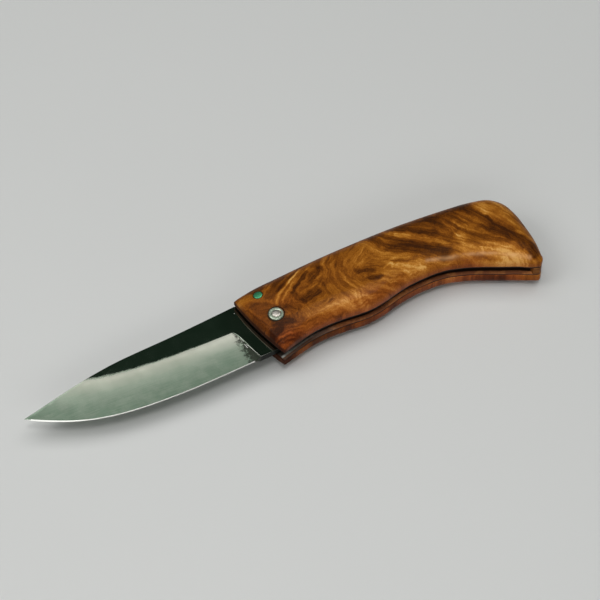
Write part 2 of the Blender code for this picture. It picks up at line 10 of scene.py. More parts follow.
import bmesh
import bpy
import numpy as np
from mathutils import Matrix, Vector


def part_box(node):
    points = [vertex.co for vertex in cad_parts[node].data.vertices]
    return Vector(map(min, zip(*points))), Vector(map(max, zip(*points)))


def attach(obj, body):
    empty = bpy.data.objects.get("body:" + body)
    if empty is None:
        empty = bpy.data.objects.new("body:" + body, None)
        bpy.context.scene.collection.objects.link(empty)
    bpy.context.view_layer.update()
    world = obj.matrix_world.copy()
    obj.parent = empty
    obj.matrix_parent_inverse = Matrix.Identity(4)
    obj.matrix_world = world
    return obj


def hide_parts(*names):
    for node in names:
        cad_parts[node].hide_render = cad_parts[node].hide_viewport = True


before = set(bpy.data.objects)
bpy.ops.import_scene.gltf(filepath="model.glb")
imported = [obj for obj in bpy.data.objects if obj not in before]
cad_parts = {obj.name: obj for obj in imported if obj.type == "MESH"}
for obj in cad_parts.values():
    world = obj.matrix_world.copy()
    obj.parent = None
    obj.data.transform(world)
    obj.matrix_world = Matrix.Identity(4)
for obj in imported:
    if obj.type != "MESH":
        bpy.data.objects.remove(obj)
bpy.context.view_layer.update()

MM = 0.001

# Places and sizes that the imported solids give
PIVOT = np.array((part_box("pivot_pin")[0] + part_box("pivot_pin")[1]) / 2)
SCALE_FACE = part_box("scale_left")[0].z - PIVOT[2]
SCALE_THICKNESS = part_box("scale_left")[1].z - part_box("scale_left")[0].z
LINER_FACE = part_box("liner_left")[0].z - PIVOT[2]
LINER_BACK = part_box("liner_left")[1].z - PIVOT[2]
SPACER_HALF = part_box("back_spacer")[1].z - PIVOT[2]
BLADE_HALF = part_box("blade")[1].z - PIVOT[2]
BLADE_REACH = PIVOT[0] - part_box("blade")[0].x
FRONT_OVERHANG = PIVOT[0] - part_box("scale_left")[0].x
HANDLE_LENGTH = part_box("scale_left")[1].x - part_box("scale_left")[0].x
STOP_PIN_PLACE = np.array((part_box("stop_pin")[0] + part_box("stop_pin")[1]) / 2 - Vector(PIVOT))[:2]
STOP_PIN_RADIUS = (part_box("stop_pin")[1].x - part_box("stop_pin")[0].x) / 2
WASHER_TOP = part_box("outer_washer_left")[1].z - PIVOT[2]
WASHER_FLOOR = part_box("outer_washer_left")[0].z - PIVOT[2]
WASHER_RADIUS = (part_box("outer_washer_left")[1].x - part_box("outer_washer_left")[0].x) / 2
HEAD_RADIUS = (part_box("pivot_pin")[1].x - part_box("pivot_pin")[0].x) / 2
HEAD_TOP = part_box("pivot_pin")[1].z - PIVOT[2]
PIVOT_SPOT = (*PIVOT[:2], 0)
STOP_PIN_SPOT = (*(PIVOT[:2] + STOP_PIN_PLACE), 0)

# Handle
HANDLE_WIDTH = 0.0362
SPACER_DEPTH = 0.0073
LIP_HEIGHT = 0.0014
LOWER_LIP_HEIGHT = 0.0020
EDGE_ROUNDING = 0.0072
FRONT_ROUNDING = 0.0016
FRONT_FALL = 0.0024
FRONT_BULGE = 0.0008
BULGE_FADE = 0.012
WOOD_WAVE = 0.0001
CROWN_DISTANCE = 0.0138
ARRIS = 0.0003
LINER_INSET = 0.0001
LINER_ARRIS = 0.00008
STOP_GAP = 0.00012

# Washers and pins
WASHER_DISH = 0.00016
WASHER_EASING = 0.0001
WASHER_RIM = (0.00034, 0.00026)  # bevel of the rim, along and down
DISH_MARGIN = 0.00028
BORE_SHARE = 0.86  # of the head's radius
HEAD_FULLNESS = 0.8
HEAD_FOOT = (0.8, 0.00002)  # share of the head's radius, and depth under the dish
HAMMER_MARKS = 0.00003

# End of the stop pin: shares of its radius, and how far the metal stands out of the wood there
STOP_PIN_SHARES = (*np.linspace(0, 0.86, 8), 0.93, 0.98, 1.0, 1.0)
STOP_PIN_PROUD = (*[0.00005] * 8, 0.000045, 0.00002, -0.00003, -0.0002)

# Blade
BLADE_HEIGHT = 0.0263
BEVEL_HEIGHT_AT_HEEL = 0.0140
BEVEL_HEIGHT_AT_TIP = 0.0172
EDGE_THICKNESS = 0.0001
SHARPENED_HEIGHT = 0.00062
SHARPENED_THICKNESS = 0.0004
PLUNGE_RADIUS = 0.005
PLUNGE_SETBACK = 0.0034
PLUNGE_SLANT = math.radians(6.5)
CLOSED_ANGLE = math.radians(183)
EDGE_CLEARANCE = 0.001
TIP_CLEARANCE = 0.0018
BLADE_ARRIS = 0.00015
SHARPENED_AT_BELLY = 0.00021
HOLLOW = 0.00008
GRIND_SOFTNESS = 0.00009
GRIND_SPREAD = 0.0013
GRIND_WAVE = 0.0006
PLUNGE_SCALE = 0.0021
TURN_WIDTH = 0.0006
TURN_RUN = 0.0005
RAMP_SHARES = (0.5, 0.667)
TIP_STRETCH = (0.26, 0.06)
LINE_BLUR = 0.0004
TIP_BLUR = 0.005

# Points on each curve
FINE_STEPS = 1200
COARSE_STEPS = 150
RIM_STATIONS = 460
ACROSS_STEPS = 140
ARC_STEPS = 5
BLADE_STATIONS = 190
PLUNGE_STATIONS = 26
BEVEL_ROWS = 24
GRIND_ROWS = 10
FLAT_ROWS = 4
ROUND_SIDES = 96
LINER_STEPS = 40
RAMP_STEPS = 30
TANG_STEPS = 200
STREAK_STEPS = 12
HEAD_STEPS = 14

# How the points are worked out
STATIONS_LEFT_OUT = 14  # at the butt
RIM_SKIP = 12  # one point of the fine rim is kept in so many
OUTLINE_SKIP = 6  # and so many of the blade's fine outline
PLACES_AT_ONCE = 4000  # measured in one block
SLANT_ROUNDS = 12  # of the search for a section's width
TIP_CROWDING = 1.4
LIFT_OVERRUN = 1.04
SHORTEST_STEP = 0.00001
MERGE_DISTANCE = 0.0000001
UPSIDE_DOWN = (1, 1, -1)

# Rim of the handle, as shares of its length from the front and of its width from the hook
SPINE_SHARES = (
    (0.000, 0.812), (0.066, 0.851), (0.165, 0.887), (0.292, 0.934), (0.451, 0.975), (0.608, 0.998),
    (0.772, 0.994), (0.878, 0.975), (0.942, 0.927), (0.981, 0.812), (0.997, 0.644), (1.000, 0.456),
)
BUTT_SHARES = (
    (1.000, 0.456), (0.998, 0.262), (0.990, 0.110), (0.985, 0.040), (0.971, 0.000),
)
BELLY_SHARES = (
    (0.064, 0.075), (0.121, 0.133), (0.178, 0.182), (0.239, 0.207), (0.310, 0.210), (0.380, 0.204),
    (0.436, 0.229), (0.492, 0.279), (0.553, 0.323), (0.628, 0.345), (0.689, 0.337), (0.749, 0.290),
    (0.801, 0.229), (0.857, 0.152), (0.904, 0.091), (0.946, 0.025), (0.971, 0.000),
)

# Blade outline, as shares of its reach from the pivot and of its height above the pivot
BLADE_SPINE_SHARES = (
    (0.108, 0.529), (0.356, 0.416), (0.602, 0.323), (0.682, 0.272), (0.758, 0.212), (0.834, 0.147),
    (0.900, 0.086), (0.955, 0.034), (1.000, -0.008),
)
BLADE_EDGE_SHARES = (
    (1.000, -0.008), (0.983, -0.058), (0.957, -0.114), (0.896, -0.221), (0.837, -0.308),
    (0.767, -0.384), (0.681, -0.441), (0.582, -0.468), (0.492, -0.472), (0.401, -0.464),
    (0.307, -0.443), (0.210, -0.414), (0.112, -0.384),
)

# Drop of the hook below the pivot, which leaves room for the closed edge under the spacer
EDGE_DROP = -min(share for _, share in BLADE_EDGE_SHARES) * BLADE_HEIGHT
HOOK_DROP = HANDLE_WIDTH - (EDGE_DROP + EDGE_CLEARANCE + SPACER_DEPTH)

# Soft patches of the upper scale, in millimetres from the pivot: tone, redness, middle, half sizes.
# The lighter ones on the belly's shoulder, about (24, -4.8) and (79, -4) to (86, -11.6), are partly a
# painted sheen.
PATCHES = (
    (-0.30, 0.35, (-6, 1), (5, 8)), (-0.20, 0.85, (-4, -9), (7, 4)),
    (0.08, 0.25, (-4, -8.8), (2, 1.2)), (0.16, 0.20, (-7.6, -3), (1, 3.5)),
    (-0.25, 0.90, (8, -11), (10, 3.5)), (0.02, 0.85, (28, -12), (20, 4.4)),
    (0.02, 0.85, (56, -7), (16, 3.5)), (-0.30, 0.30, (70.5, -5.6), (5, 2)),
    (0.10, 0.00, (83, -11), (5, 2)), (0.00, 0.28, (28, -6.4), (20, 2.6)),
    (-0.13, 0.00, (35, 4.5), (2.6, 1.3)), (-0.10, 0.00, (37.4, -0.2), (2, 1.0)),
    (0.12, 0.10, (0, -9.6), (2.4, 1.4)), (-0.08, 0.00, (93, -3), (2, 4)),
    (0.46, 0.25, (86, -11.6), (5.5, 3.6)), (0.26, 0.10, (84, -7), (4, 2)),
    (-0.07, 0.10, (7, 1), (6, 6)), (-0.06, 0.08, (22, 8), (12, 7)), (0.10, 0.00, (24.5, 10), (3, 3)),
    (-0.08, 0.20, (3, 3), (8, 6)), (-0.06, 0.12, (36, -4), (12, 2.4)), (0.12, 0.00, (46, 3), (7, 4)),
    (0.05, 0.00, (42, 12), (6, 5)), (0.16, 0.05, (24, -4.8), (17, 1.8)),
    (0.12, 0.00, (40, -1.5), (8, 2.5)), (0.27, 0.05, (79, -4), (8, 3.2)),
    (0.30, 0.05, (72, 2.5), (2.6, 5)), (0.14, 0.05, (52, -2), (6, 2)),
    (-0.22, 0.12, (88, 1.5), (3.6, 7)), (-0.18, 0.12, (57, 8), (5, 3.6)),
    (0.16, 0.00, (91, 9), (5, 8)), (0.10, -0.1, (-6, 11.5), (3, 2)),
    (-0.25, 0.00, (62, 16.5), (9, 2.6)), (-0.22, 0.05, (76, 15.5), (8, 3.6)),
    (0.20, 0.00, (85.5, 13.5), (2.4, 4)), (-0.12, 0.00, (30, 19), (25, 2)),
    (-0.20, 0.00, (2, 15), (9, 1.8)), (-0.12, 0.05, (66, 9), (6, 5)), (-0.10, 0.10, (5, 3), (4, 3)),
    (-0.05, 0.05, (12, 8), (4, 3)), (-0.07, 0.05, (28, 3), (6, 5)), (-0.12, 0.20, (0, -5), (4, 2.5)),
    (-0.10, 0.00, (20, 13.5), (8, 2.5)), (0.16, 0.10, (20, -5), (6, 1.5)),
    (0.22, 0.00, (46, 14), (3, 4)), (0.10, 0.05, (72, 10), (2.5, 3)),
)

# How deep, half how wide, and through which places each dark streak runs
DARK_STREAKS = (
    (0.85, 2.6, ((45.5, 18), (47.5, 13.5), (51, 10), (55, 6), (60, 2.8), (65, 0.5))),
    (0.70, 2.2, ((50, 11), (55, 8), (59, 5), (64, 2))),
    (0.70, 2.0, ((53, 17.5), (57, 15), (61, 12.5), (64.5, 10))),
    (0.45, 1.0, ((61, 12), (65, 9), (68.5, 5), (71, 2))),
    (0.70, 2.0, ((66, 17.5), (69, 13.5), (71, 10), (71.5, 7))),
    (0.55, 1.5, ((58, 18), (66, 17), (76, 17.5), (82, 17.5))),
    (0.60, 1.5, ((73.5, 16), (76, 12.5), (77.5, 9.5))),
    (0.88, 1.9, ((79, 18.5), (81.5, 13), (84.5, 7.5), (88, 1), (91, -5), (93.2, -12))),
    (0.55, 1.3, ((81, 6), (84.5, 1.5), (88, -3), (91, -8))),
    (0.60, 1.4, ((73.5, 6.5), (78, 3), (82.5, -0.8), (87, -4.5))),
    (0.35, 0.8, ((71, 4), (76, -0.5), (81, -4))),
    (0.92, 1.3, ((32.8, 5.2), (35.2, 4.4), (37.4, 3.0))),
    (0.85, 1.1, ((35.4, 0.7), (37.4, -0.3), (38.8, -0.8))),
    (0.88, 1.3, ((15.8, 8.2), (18.3, 9.9), (21.2, 11.6))),
    (0.85, 0.7, ((8.6, 5.6), (10.9, 7.3), (13.9, 9.8), (16.4, 11.8))),
    (0.70, 0.7, ((4.5, 8.4), (8.6, 11.0), (12.5, 13.8), (17, 16))),
    (0.60, 0.6, ((0.5, 8.0), (4.4, 11.0), (9.0, 14.0))),
    (0.88, 1.4, ((10.6, 1.4), (13.6, 1.8), (16.6, 2.8))),
    (0.40, 1.0, ((8.8, 4.6), (9.0, 2.0), (10.6, 0.2))),
    (0.45, 1.6, ((-3, 12.8), (2, 13.8), (8, 16), (15, 17.5), (24, 19))),
    (0.90, 1.5, ((-1.4, -3.0), (0.8, -3.8), (2.6, -4.8))),
    (0.90, 1.5, ((-4.2, -6.6), (-2.2, -6.2), (-0.4, -5.4))),
    (0.50, 1.8, ((4.6, 0.8), (6.2, -2), (5.6, -5))),
    (0.35, 0.8, ((1.5, 7.6), (5.5, 10.6), (10, 13.2))),
    (0.30, 1.0, ((22, 5), (24.4, 11), (30, 16.5))),
    (0.30, 0.8, ((-8.6, 8), (-7, 2), (-5.4, -3))),
    (0.25, 0.9, ((-6, 7), (-2.6, 6.4), (0.6, 5))),
    (0.22, 0.9, ((44, 6), (48, 3), (53, 1.4))),
)
PALE_STREAKS = (
    (0.95, 0.40, ((1.9, 3.6), (3.7, 6.2), (6.9, 8.8), (11.5, 12), (15, 14.6))),
    (0.50, 0.5, ((4.6, 4.6), (8.6, 7.6), (12.4, 10.8))),
    (0.60, 0.8, ((53, 15), (58, 10.4), (63, 7.2), (67, 3.4))),
    (0.45, 0.5, ((57, 14), (62, 9.8), (66.5, 6.2), (69, 3))),
    (0.40, 0.7, ((11, 4.4), (14, 5.6), (17.5, 5.6))),
    (0.45, 0.6, ((73, 12), (74.6, 8.6), (75, 6))),
    (0.60, 0.36, ((61.4, 10.8), (62.0, 9.6), (63.0, 8.4))),
    (0.50, 0.34, ((60.2, 9.5), (62.2, 9.9), (64.0, 9.4))),
    (0.50, 0.30, ((52.4, 14.6), (53.4, 13.9), (54.2, 12.8))),
    (0.55, 0.38, ((42.6, 5.6), (44.6, 4.8), (46.6, 4.8))),
    (0.50, 0.34, ((41.6, 1.8), (43.4, 2.9), (45.8, 3.4))),
    (0.45, 0.34, ((44.2, 1.2), (45.0, 2.4), (44.8, 4.2))),
    (0.50, 0.34, ((76.2, -1.4), (77.0, -2.6), (77.2, -4.2))),
    (0.50, 0.34, ((79.4, -3.0), (80.2, -4.2), (80.2, -5.6))),
    (0.50, 0.34, ((51.6, -1.2), (53.6, -1.9), (55.8, -2.2))),
    (0.45, 0.34, ((53.2, 0.6), (54.2, -0.9), (54.4, -2.6))),
    (0.50, 0.34, ((17.0, -4.0), (19.0, -4.4), (21.4, -5.4))),
    (0.50, 0.34, ((-4.0, -7.2), (-1.0, -8.4), (2.0, -8.6))),
    (0.40, 0.25, ((84, 12), (86, 9), (87, 6))),
)
# Where a highlight is painted and the gloss is highest: along the shoulder towards the butt
HIGHLIGHT_LINE = ((57, -0.1), (62, -1.0), (68, -2.3), (74, -4.0), (80, -6.6), (86, -9.9), (91, -12.8))
HIGHLIGHT_WIDTH = 0.6
# Ways along which the grain runs, apart from the streaks
FLOW_LINES = (
    ((28, -2), (25.6, 3), (26.4, 9), (30, 14.5)),
    ((22, 1), (21.4, 7), (24.4, 14)),
    ((33, -1), (30.6, 4), (32, 9), (37, 12.6)),
    ((-6, -8), (10, -9), (25, -10), (40, -8)),
    ((-6, -10), (-1, -11), (4, -11.4), (10, -11)),
    ((-5, -8.4), (0, -8.8), (5, -8.6)),
    ((45, -6), (58, -4), (70, -6), (85, -14)),
    ((86, 14), (91, 6), (95, -4)),
)

# Growth rings round the eye in the upper scale's middle: its place, their spacing and depth
EYE_PLACE = (37, 5)
RING_SPACING = 2.3
RING_DEPTH = 0.055

# Painted highlights, thin bright lines across the plunge's end and a glint on the flat: both ends, and
# half how wide, in millimetres
PAINTED_HIGHLIGHT_LINES = (
    ((-13.2, 0.4), (-12.85, -1.5), 0.045),
    ((-12.95, -2.6), (-12.7, -4.3), 0.06),
    ((-12.45, -3.0), (-10.15, -10.0), 0.05),
    ((-10.2, -9.9), (-5.8, -9.5), 0.04),
    ((-10.9, 11.0), (-10.7, 11.0), 0.14),
)

# Grain of the wood, in millimetres
GRAIN_STEPS = 9  # each way along the grain
GRAIN_STEP = 0.4
GRAIN_CONTRAST = 2.6
LATTICE = 64  # random values along each side of the noise's table
PALE_GUIDES = 6  # pale streaks that the grain follows
LINES = (0.34, 0.44)  # how wide and how strong
BANDS = (1.1, 0.24)
DRIFTS = ((9, 1.8), (2.2, 1.3))  # sizes of the noise that draws the figure about, and how far
TURNED_ROUND = (88, -2)  # shift of the lower scale's figure

# Tone of the wood: its middle value, and what clouds, pale and dark streaks add or take
MIDDLE_TONE = 0.56
CLOUD_TONE = 0.24
PALE_TONE = 0.34
DARK_TONE = (0.25, 0.26)

# Finish
WOOD_TINT = (1.0, 0.5, 0.15, 1)
SEAM_OFFSET = 0.00006
SEAM_WIDTH = 0.00026
SCRATCH_DEPTH = 0.000004
LATHE_RINGS = 60000
FROM_ABOVE = (1, 1, 0)

# View, in degrees and metres, and the floor
VIEW_ELEVATION = 50
VIEW_TURN = 25
VIEW_DISTANCE = 0.69
VIEW_PLACE = (0.01256, 0.0079, 0)
LENS = 120
SENSOR = 36
FLOOR_HALF = 4.0

# Lights: degrees round the knife and up from the floor, metres off, size, and brightness
LIGHTS = (
    ("over", (0, 78, 1.5), (2.2, 1.15), 1.45),
    ("left", (115, 45, 1.3), (0.9, 0.6), 2.6),
    ("near", (181, 68, 1.3), (0.30, 0.26), 12),
    ("front", (185, 27, 1.3), (1.4, 0.4), 2.4),
)


def smooth_line(points, count):
    """Points evenly spaced along a smooth curve through the given ones.

    Each span is a cubic. Its slope at a point is the mean of the two chords there, each
    weighted by the other's length."""
    places = np.asarray(points, dtype=float)
    steps = np.sqrt(np.linalg.norm(np.diff(places, axis=0), axis=1))
    knots = np.concatenate([[0], np.cumsum(steps)])
    chords = np.diff(places, axis=0) / steps[:, None]
    weight = (steps[:-1] / (steps[:-1] + steps[1:]))[:, None]
    inner = chords[1:] * weight + chords[:-1] * (1 - weight)
    first = 1.5 * chords[:1] - inner[:1] / 2
    last = 1.5 * chords[-1:] - inner[-1:] / 2
    slopes = np.concatenate([first, inner, last])
    at = np.linspace(0, knots[-1], FINE_STEPS)
    span = np.clip(np.searchsorted(knots, at, side="right") - 1, 0, len(steps) - 1)
    t = ((at - knots[span]) / steps[span])[:, None]
    width = steps[span][:, None]
    fine = (
        (2 * t**3 - 3 * t**2 + 1) * places[span]
        + (t**3 - 2 * t**2 + t) * width * slopes[span]
        + (3 * t**2 - 2 * t**3) * places[span + 1]
        + (t**3 - t**2) * width * slopes[span + 1]
    )
    return spaced(fine, np.linspace(0, 1, count))


def spaced(line, shares):
    """The points of a line at the given shares of its length."""
    runs = np.linalg.norm(np.diff(line, axis=0), axis=1)
    along = np.concatenate([[0], np.cumsum(runs)]) / runs.sum()
    return np.stack([np.interp(shares, along, line[:, k]) for k in range(2)], axis=1)


def handle_points(shares):
    """Shares of the handle's length and width as places from the pivot."""
    table = np.asarray(shares)
    x = table[:, 0] * HANDLE_LENGTH - FRONT_OVERHANG
    return np.stack([x, table[:, 1] * HANDLE_WIDTH - HOOK_DROP], axis=1)


def blade_points(shares):
    """Shares of the blade's reach and height as places from the pivot."""
    table = np.asarray(shares)
    return np.stack([-table[:, 0] * BLADE_REACH, table[:, 1] * BLADE_HEIGHT], axis=1)


def spine_rim():
    """The handle's rim from its front corner along the spine to the butt."""
    return smooth_line(handle_points(SPINE_SHARES), FINE_STEPS)


def belly_rim():
    """The handle's rim from its front corner along the belly and round the hook to the butt."""
    belly = smooth_line(handle_points(BELLY_SHARES), FINE_STEPS)
    butt = smooth_line(handle_points(BUTT_SHARES), FINE_STEPS)[::-1]
    return np.concatenate([belly, butt[1:]])


def share_of(value, first, last):
    """How far a value has gone from one level to another, held to 0 and 1."""
    return np.clip((value - first) / (last - first), 0, 1)


def moved_left(line, along, distance):
    """A line moved to the left of the way that it runs."""
    left = np.stack([-along[:, 1], along[:, 0]], axis=1)
    return line + distance * left / np.linalg.norm(left, axis=1)[:, None]


def rim_shares():
    """Shares of each side of the rim at which its points stand, crowded in the front rounding.

    The last few are left out, because both sides run along one line there."""
    front = 1.25 * FRONT_ROUNDING / HANDLE_LENGTH
    near = front * np.linspace(0, 1, ARC_STEPS * 3) ** 2
    rest = np.linspace(front, 1, RIM_STATIONS)[:-STATIONS_LEFT_OUT]
    return np.concatenate([near[:-1], rest])


def rim_sides(shares):
    """Belly and spine of the rim at the same shares, their distance, and the unit way across."""
    belly, spine = spaced(belly_rim(), shares), spaced(spine_rim(), shares)
    span = np.linalg.norm(spine - belly, axis=1)[:, None]
    return belly, spine, span, (spine - belly) / np.maximum(span, ARRIS)


def rim_polygon(inset):
    """The whole rim, anticlockwise, moved inwards square to itself."""
    belly, spine, *_ = rim_sides(rim_shares())
    rim = np.concatenate([belly, spine[::-1]])
    return moved_left(rim, np.roll(rim, -1, axis=0) - np.roll(rim, 1, axis=0), inset)


def distance_to(places, line, straight_on=True):
    """Shortest distance from each place to a line, which may run on straight past its ends."""
    if straight_on:
        before = line[0] + (line[0] - line[1]) * FINE_STEPS
        after = line[-1] + (line[-1] - line[-2]) * FINE_STEPS
        line = np.concatenate([[before], line, [after]])
    start, run = line[:-1][None], np.diff(line, axis=0)[None]
    nearest = []
    for block in np.array_split(places, max(1, len(places) // PLACES_AT_ONCE)):
        offset = block[:, None] - start
        share = np.clip((offset * run).sum(-1) / (run * run).sum(-1), 0, 1)
        nearest.append(np.linalg.norm(offset - share[..., None] * run, axis=-1).min(axis=1))
    return np.concatenate(nearest)


def rounding(distance, radius):
    """Height share of a quarter ellipse that starts upright at the rim."""
    share = np.clip(distance / radius, 0, 1)
    return np.sqrt(share * (2 - share))


def scale_heights(places, lip):
    """Height of a scale's outer surface above its inner face.

    It is flat in the middle, falls along the rim by a quarter ellipse, and grows thinner
    towards the front as the square of the way left to the crown."""
    belly = smooth_line(handle_points(BELLY_SHARES[:-1]), COARSE_STEPS)
    back = np.concatenate([handle_points(SPINE_SHARES), handle_points(BUTT_SHARES[1:3])])
    back = smooth_line(back, COARSE_STEPS)
    from_front = distance_to(places, np.stack([back[0], belly[0]]))
    share = rounding(from_front, FRONT_ROUNDING)
    for side in (belly, back):
        share = share * rounding(distance_to(places, side), EDGE_ROUNDING)
    thickness = SCALE_THICKNESS - FRONT_FALL * share_of(from_front, CROWN_DISTANCE, 0) ** 2
    return lip + (thickness - lip) * share


def skin(rings, first_cap=True, last_cap=True):
    """Points and faces of a skin over closed rings with equal point counts."""
    stations, ring = rings.shape[:2]
    index = np.arange(stations * ring).reshape(stations, ring)
    ahead = np.roll(index, -1, axis=1)
    quads = np.stack([index[:-1], ahead[:-1], ahead[1:], index[1:]], axis=-1).reshape(-1, 4)
    faces = quads.tolist()
    if first_cap:
        faces.append(index[0].tolist())
    if last_cap:
        faces.append(index[-1][::-1].tolist())
    return rings.reshape(-1, 3), faces


def write_values(mesh, values):
    """Keeps values on a mesh's points, for the materials."""
    for key, value in values.items():
        mesh.attributes.new(key, "FLOAT", "POINT").data.foreach_set("value", value)


def linked(name, data):
    """A new object of the scene."""
    made = bpy.data.objects.new(name, data)
    bpy.context.scene.collection.objects.link(made)
    return made


def new_piece(name, points, faces, sharp_angle, values=None):
    """A piece from knife places: merged, its faces outwards, and smooth up to a sharp angle."""
    mesh = bpy.data.meshes.new(name)
    mesh.from_pydata((np.asarray(points) + PIVOT).tolist(), [], faces)
    write_values(mesh, values or {})
    work = bmesh.new()
    work.from_mesh(mesh)
    bmesh.ops.remove_doubles(work, verts=work.verts, dist=MERGE_DISTANCE)
    bmesh.ops.dissolve_degenerate(work, edges=work.edges, dist=MERGE_DISTANCE)
    bmesh.ops.recalc_face_normals(work, faces=work.faces)
    work.to_mesh(mesh)
    work.free()
    mesh.shade_smooth()
    mesh.set_sharp_from_angle(angle=math.radians(sharp_angle))
    return linked(name, mesh)


def knife_places(piece):
    """A piece's points as places from the pivot."""
    flat = np.zeros(len(piece.data.vertices) * 3, np.float32)
    piece.data.vertices.foreach_get("co", flat)
    return flat.reshape(-1, 3) - PIVOT


def turned_rings(profile, place=(0, 0)):
    """Rings of a solid of revolution: each profile point carried round an upright axis."""
    angles = np.linspace(0, 2 * math.pi, ROUND_SIDES, endpoint=False)
    round_about = np.stack([np.cos(angles), np.sin(angles)], axis=1)
    return np.array([np.c_[r * round_about + place, np.full(ROUND_SIDES, z)] for r, z in profile])


def rounded(profile, radius):
    """A profile whose inner corners are cut by short arcs: a parabola between two near points."""
    line = [profile[0]]
    for before, corner, after in zip(profile, profile[1:], profile[2:]):
        before, corner, after = map(np.asarray, (before, corner, after))
        back, on = before - corner, after - corner
        reach = min(radius, np.linalg.norm(back) / 2, np.linalg.norm(on) / 2)
        start = corner + back / np.linalg.norm(back) * reach
        end = corner + on / np.linalg.norm(on) * reach
        for t in np.linspace(0, 1, ARC_STEPS):
            line.append((1 - t) ** 2 * start + 2 * t * (1 - t) * corner + t**2 * end)
    return [*line, profile[-1]]


def bulged(plan, across, along):
    """A grid of places across the handle, with its front end made a little convex.

    The bulge is a parabola across and fades out along the handle."""
    line = spine_rim()[0] - belly_rim()[0]
    outward = np.array([-line[1], line[0]]) / np.linalg.norm(line)
    fade = np.clip(1 - along / BULGE_FADE, 0, 1) ** 2
    return plan + (FRONT_BULGE * fade[:, None] * 4 * across * (1 - across))[..., None] * outward


def front_line():
    """The handle's convex front end as a line from belly to spine."""
    across = np.linspace(0, 1, COARSE_STEPS // 3)
    belly, spine = belly_rim()[0], spine_rim()[0]
    return bulged((belly + across[:, None] * (spine - belly))[None], across[None], np.zeros(1))[0]


def scale_rings(side):
    """Rings across a scale: inner arris, lip, crowned surface, lip and arris at the spine."""
    shares = rim_shares()
    belly, spine, span, inwards = rim_sides(shares)
    across = (1 - np.cos(np.linspace(0, math.pi, ACROSS_STEPS))) / 2
    places = belly[:, None] + across[None, :, None] * (spine - belly)[:, None]
    flat = places.reshape(-1, 2)
    lip = LIP_HEIGHT if side > 0 else LOWER_LIP_HEIGHT
    heights = scale_heights(flat, lip)
    wave = layered_noise(flat / MM + 300, 7, 83) * np.clip(heights / lip - 1, 0, 1)
    heights = (heights - WOOD_WAVE * wave).reshape(places.shape[:2])
    places = bulged(places, across[None], shares * HANDLE_LENGTH)
    turn = np.linspace(0, math.pi / 2, ARC_STEPS)
    draw = np.minimum(ARRIS * (1 - np.sin(turn)), span / 3)[..., None] * inwards[:, None]
    lift = np.tile(ARRIS * (1 - np.cos(turn)), (len(shares), 1))
    plan = np.concatenate([belly[:, None] + draw, places, (spine[:, None] - draw)[:, ::-1]], axis=1)
    level = np.concatenate([lift, heights, lift[:, ::-1]], axis=1)
    return np.concatenate([plan, side * (SCALE_FACE + level)[..., None]], axis=-1)


def value_noise(places, size, seed):
    """Smooth random values from 0 to 1: a square lattice of them, blended by a cubic step."""
    table = np.random.default_rng(seed).random((LATTICE, LATTICE))
    grid = places.T / size
    cell = np.floor(grid).astype(int)
    t = grid - cell
    u, v = t * t * (3 - 2 * t)
    (i, j), (k, m) = cell % LATTICE, (cell + 1) % LATTICE
    low = table[i, j] * (1 - u) + table[k, j] * u
    high = table[i, m] * (1 - u) + table[k, m] * u
    return low * (1 - v) + high * v


def layered_noise(places, size, seed):
    """Three layers of noise, each half as large and half as strong as the one before, over the
    sum of their strengths."""
    shares = (1, 1 / 2, 1 / 4)
    total = sum(share * value_noise(places, size * share, seed + k) for k, share in enumerate(shares))
    return total / sum(shares)


def streak_mask(places, streaks, seed):
    """How deep the streaks are at each place: deepest on a streak's line, none past its width."""
    clear = np.ones(len(places))
    ragged = 0.5 + layered_noise(places, 2.0, seed)
    for depth, half_width, line in streaks:
        curve = smooth_line(line, STREAK_STEPS) if len(line) > 2 else np.asarray(line, float)
        near = distance_to(places, curve, straight_on=False)
        reach = share_of(near / (half_width * ragged), 1.55, 0.35)
        clear *= 1 - depth * reach * reach * (3 - 2 * reach)
    return 1 - clear


def grain_angles(places):
    """Which way the grain runs: the streaks' directions, the nearer the stronger."""
    middles, turns = [], []
    for line in (*FLOW_LINES, *(streak[2] for streak in (*DARK_STREAKS, *PALE_STREAKS[:PALE_GUIDES]))):
        steps = np.diff(np.asarray(line, float), axis=0)
        middles.append((np.asarray(line[:-1]) + np.asarray(line[1:])) / 2)
        turns.append(np.arctan2(steps[:, 1], steps[:, 0]))
    middles, turns = np.concatenate(middles), np.concatenate(turns)
    far = ((places[:, None] - middles[None]) ** 2).sum(-1)
    weight = 1 / (far + 4) ** 2
    return np.arctan2((weight * np.sin(2 * turns)).sum(1), (weight * np.cos(2 * turns)).sum(1)) / 2


def grain_lines(places, size, seed):
    """Fine lines along the grain: noise averaged along the way that the grain runs."""
    total = np.zeros(len(places))
    for way in (1, -1):
        at = places.copy()
        heading = grain_angles(at)
        for _ in range(GRAIN_STEPS):
            at = at + way * GRAIN_STEP * np.stack([np.cos(heading), np.sin(heading)], axis=1)
            total += value_noise(at, size, seed)
    return np.clip((total / (2 * GRAIN_STEPS) - 0.5) * GRAIN_CONTRAST + 0.5, 0, 1)


def spot(places, middle, half):
    """A soft round spot, which falls off with the square of the distance over its half sizes."""
    return np.exp(-(((places - middle) / half) ** 2).sum(axis=1))


def eye_rings(places, seed):
    """Growth rings on the near side of the eye, fading out from it."""
    from_eye = (places - EYE_PLACE) * (1, 0.8)
    radius = np.hypot(*from_eye.T) + 1.6 * (layered_noise(places, 4, seed) - 0.5)
    here = share_of(from_eye[:, 0], 3, -4) * share_of(radius, 17, 13)
    return np.sin(radius * 2 * math.pi / RING_SPACING) ** 3 * here


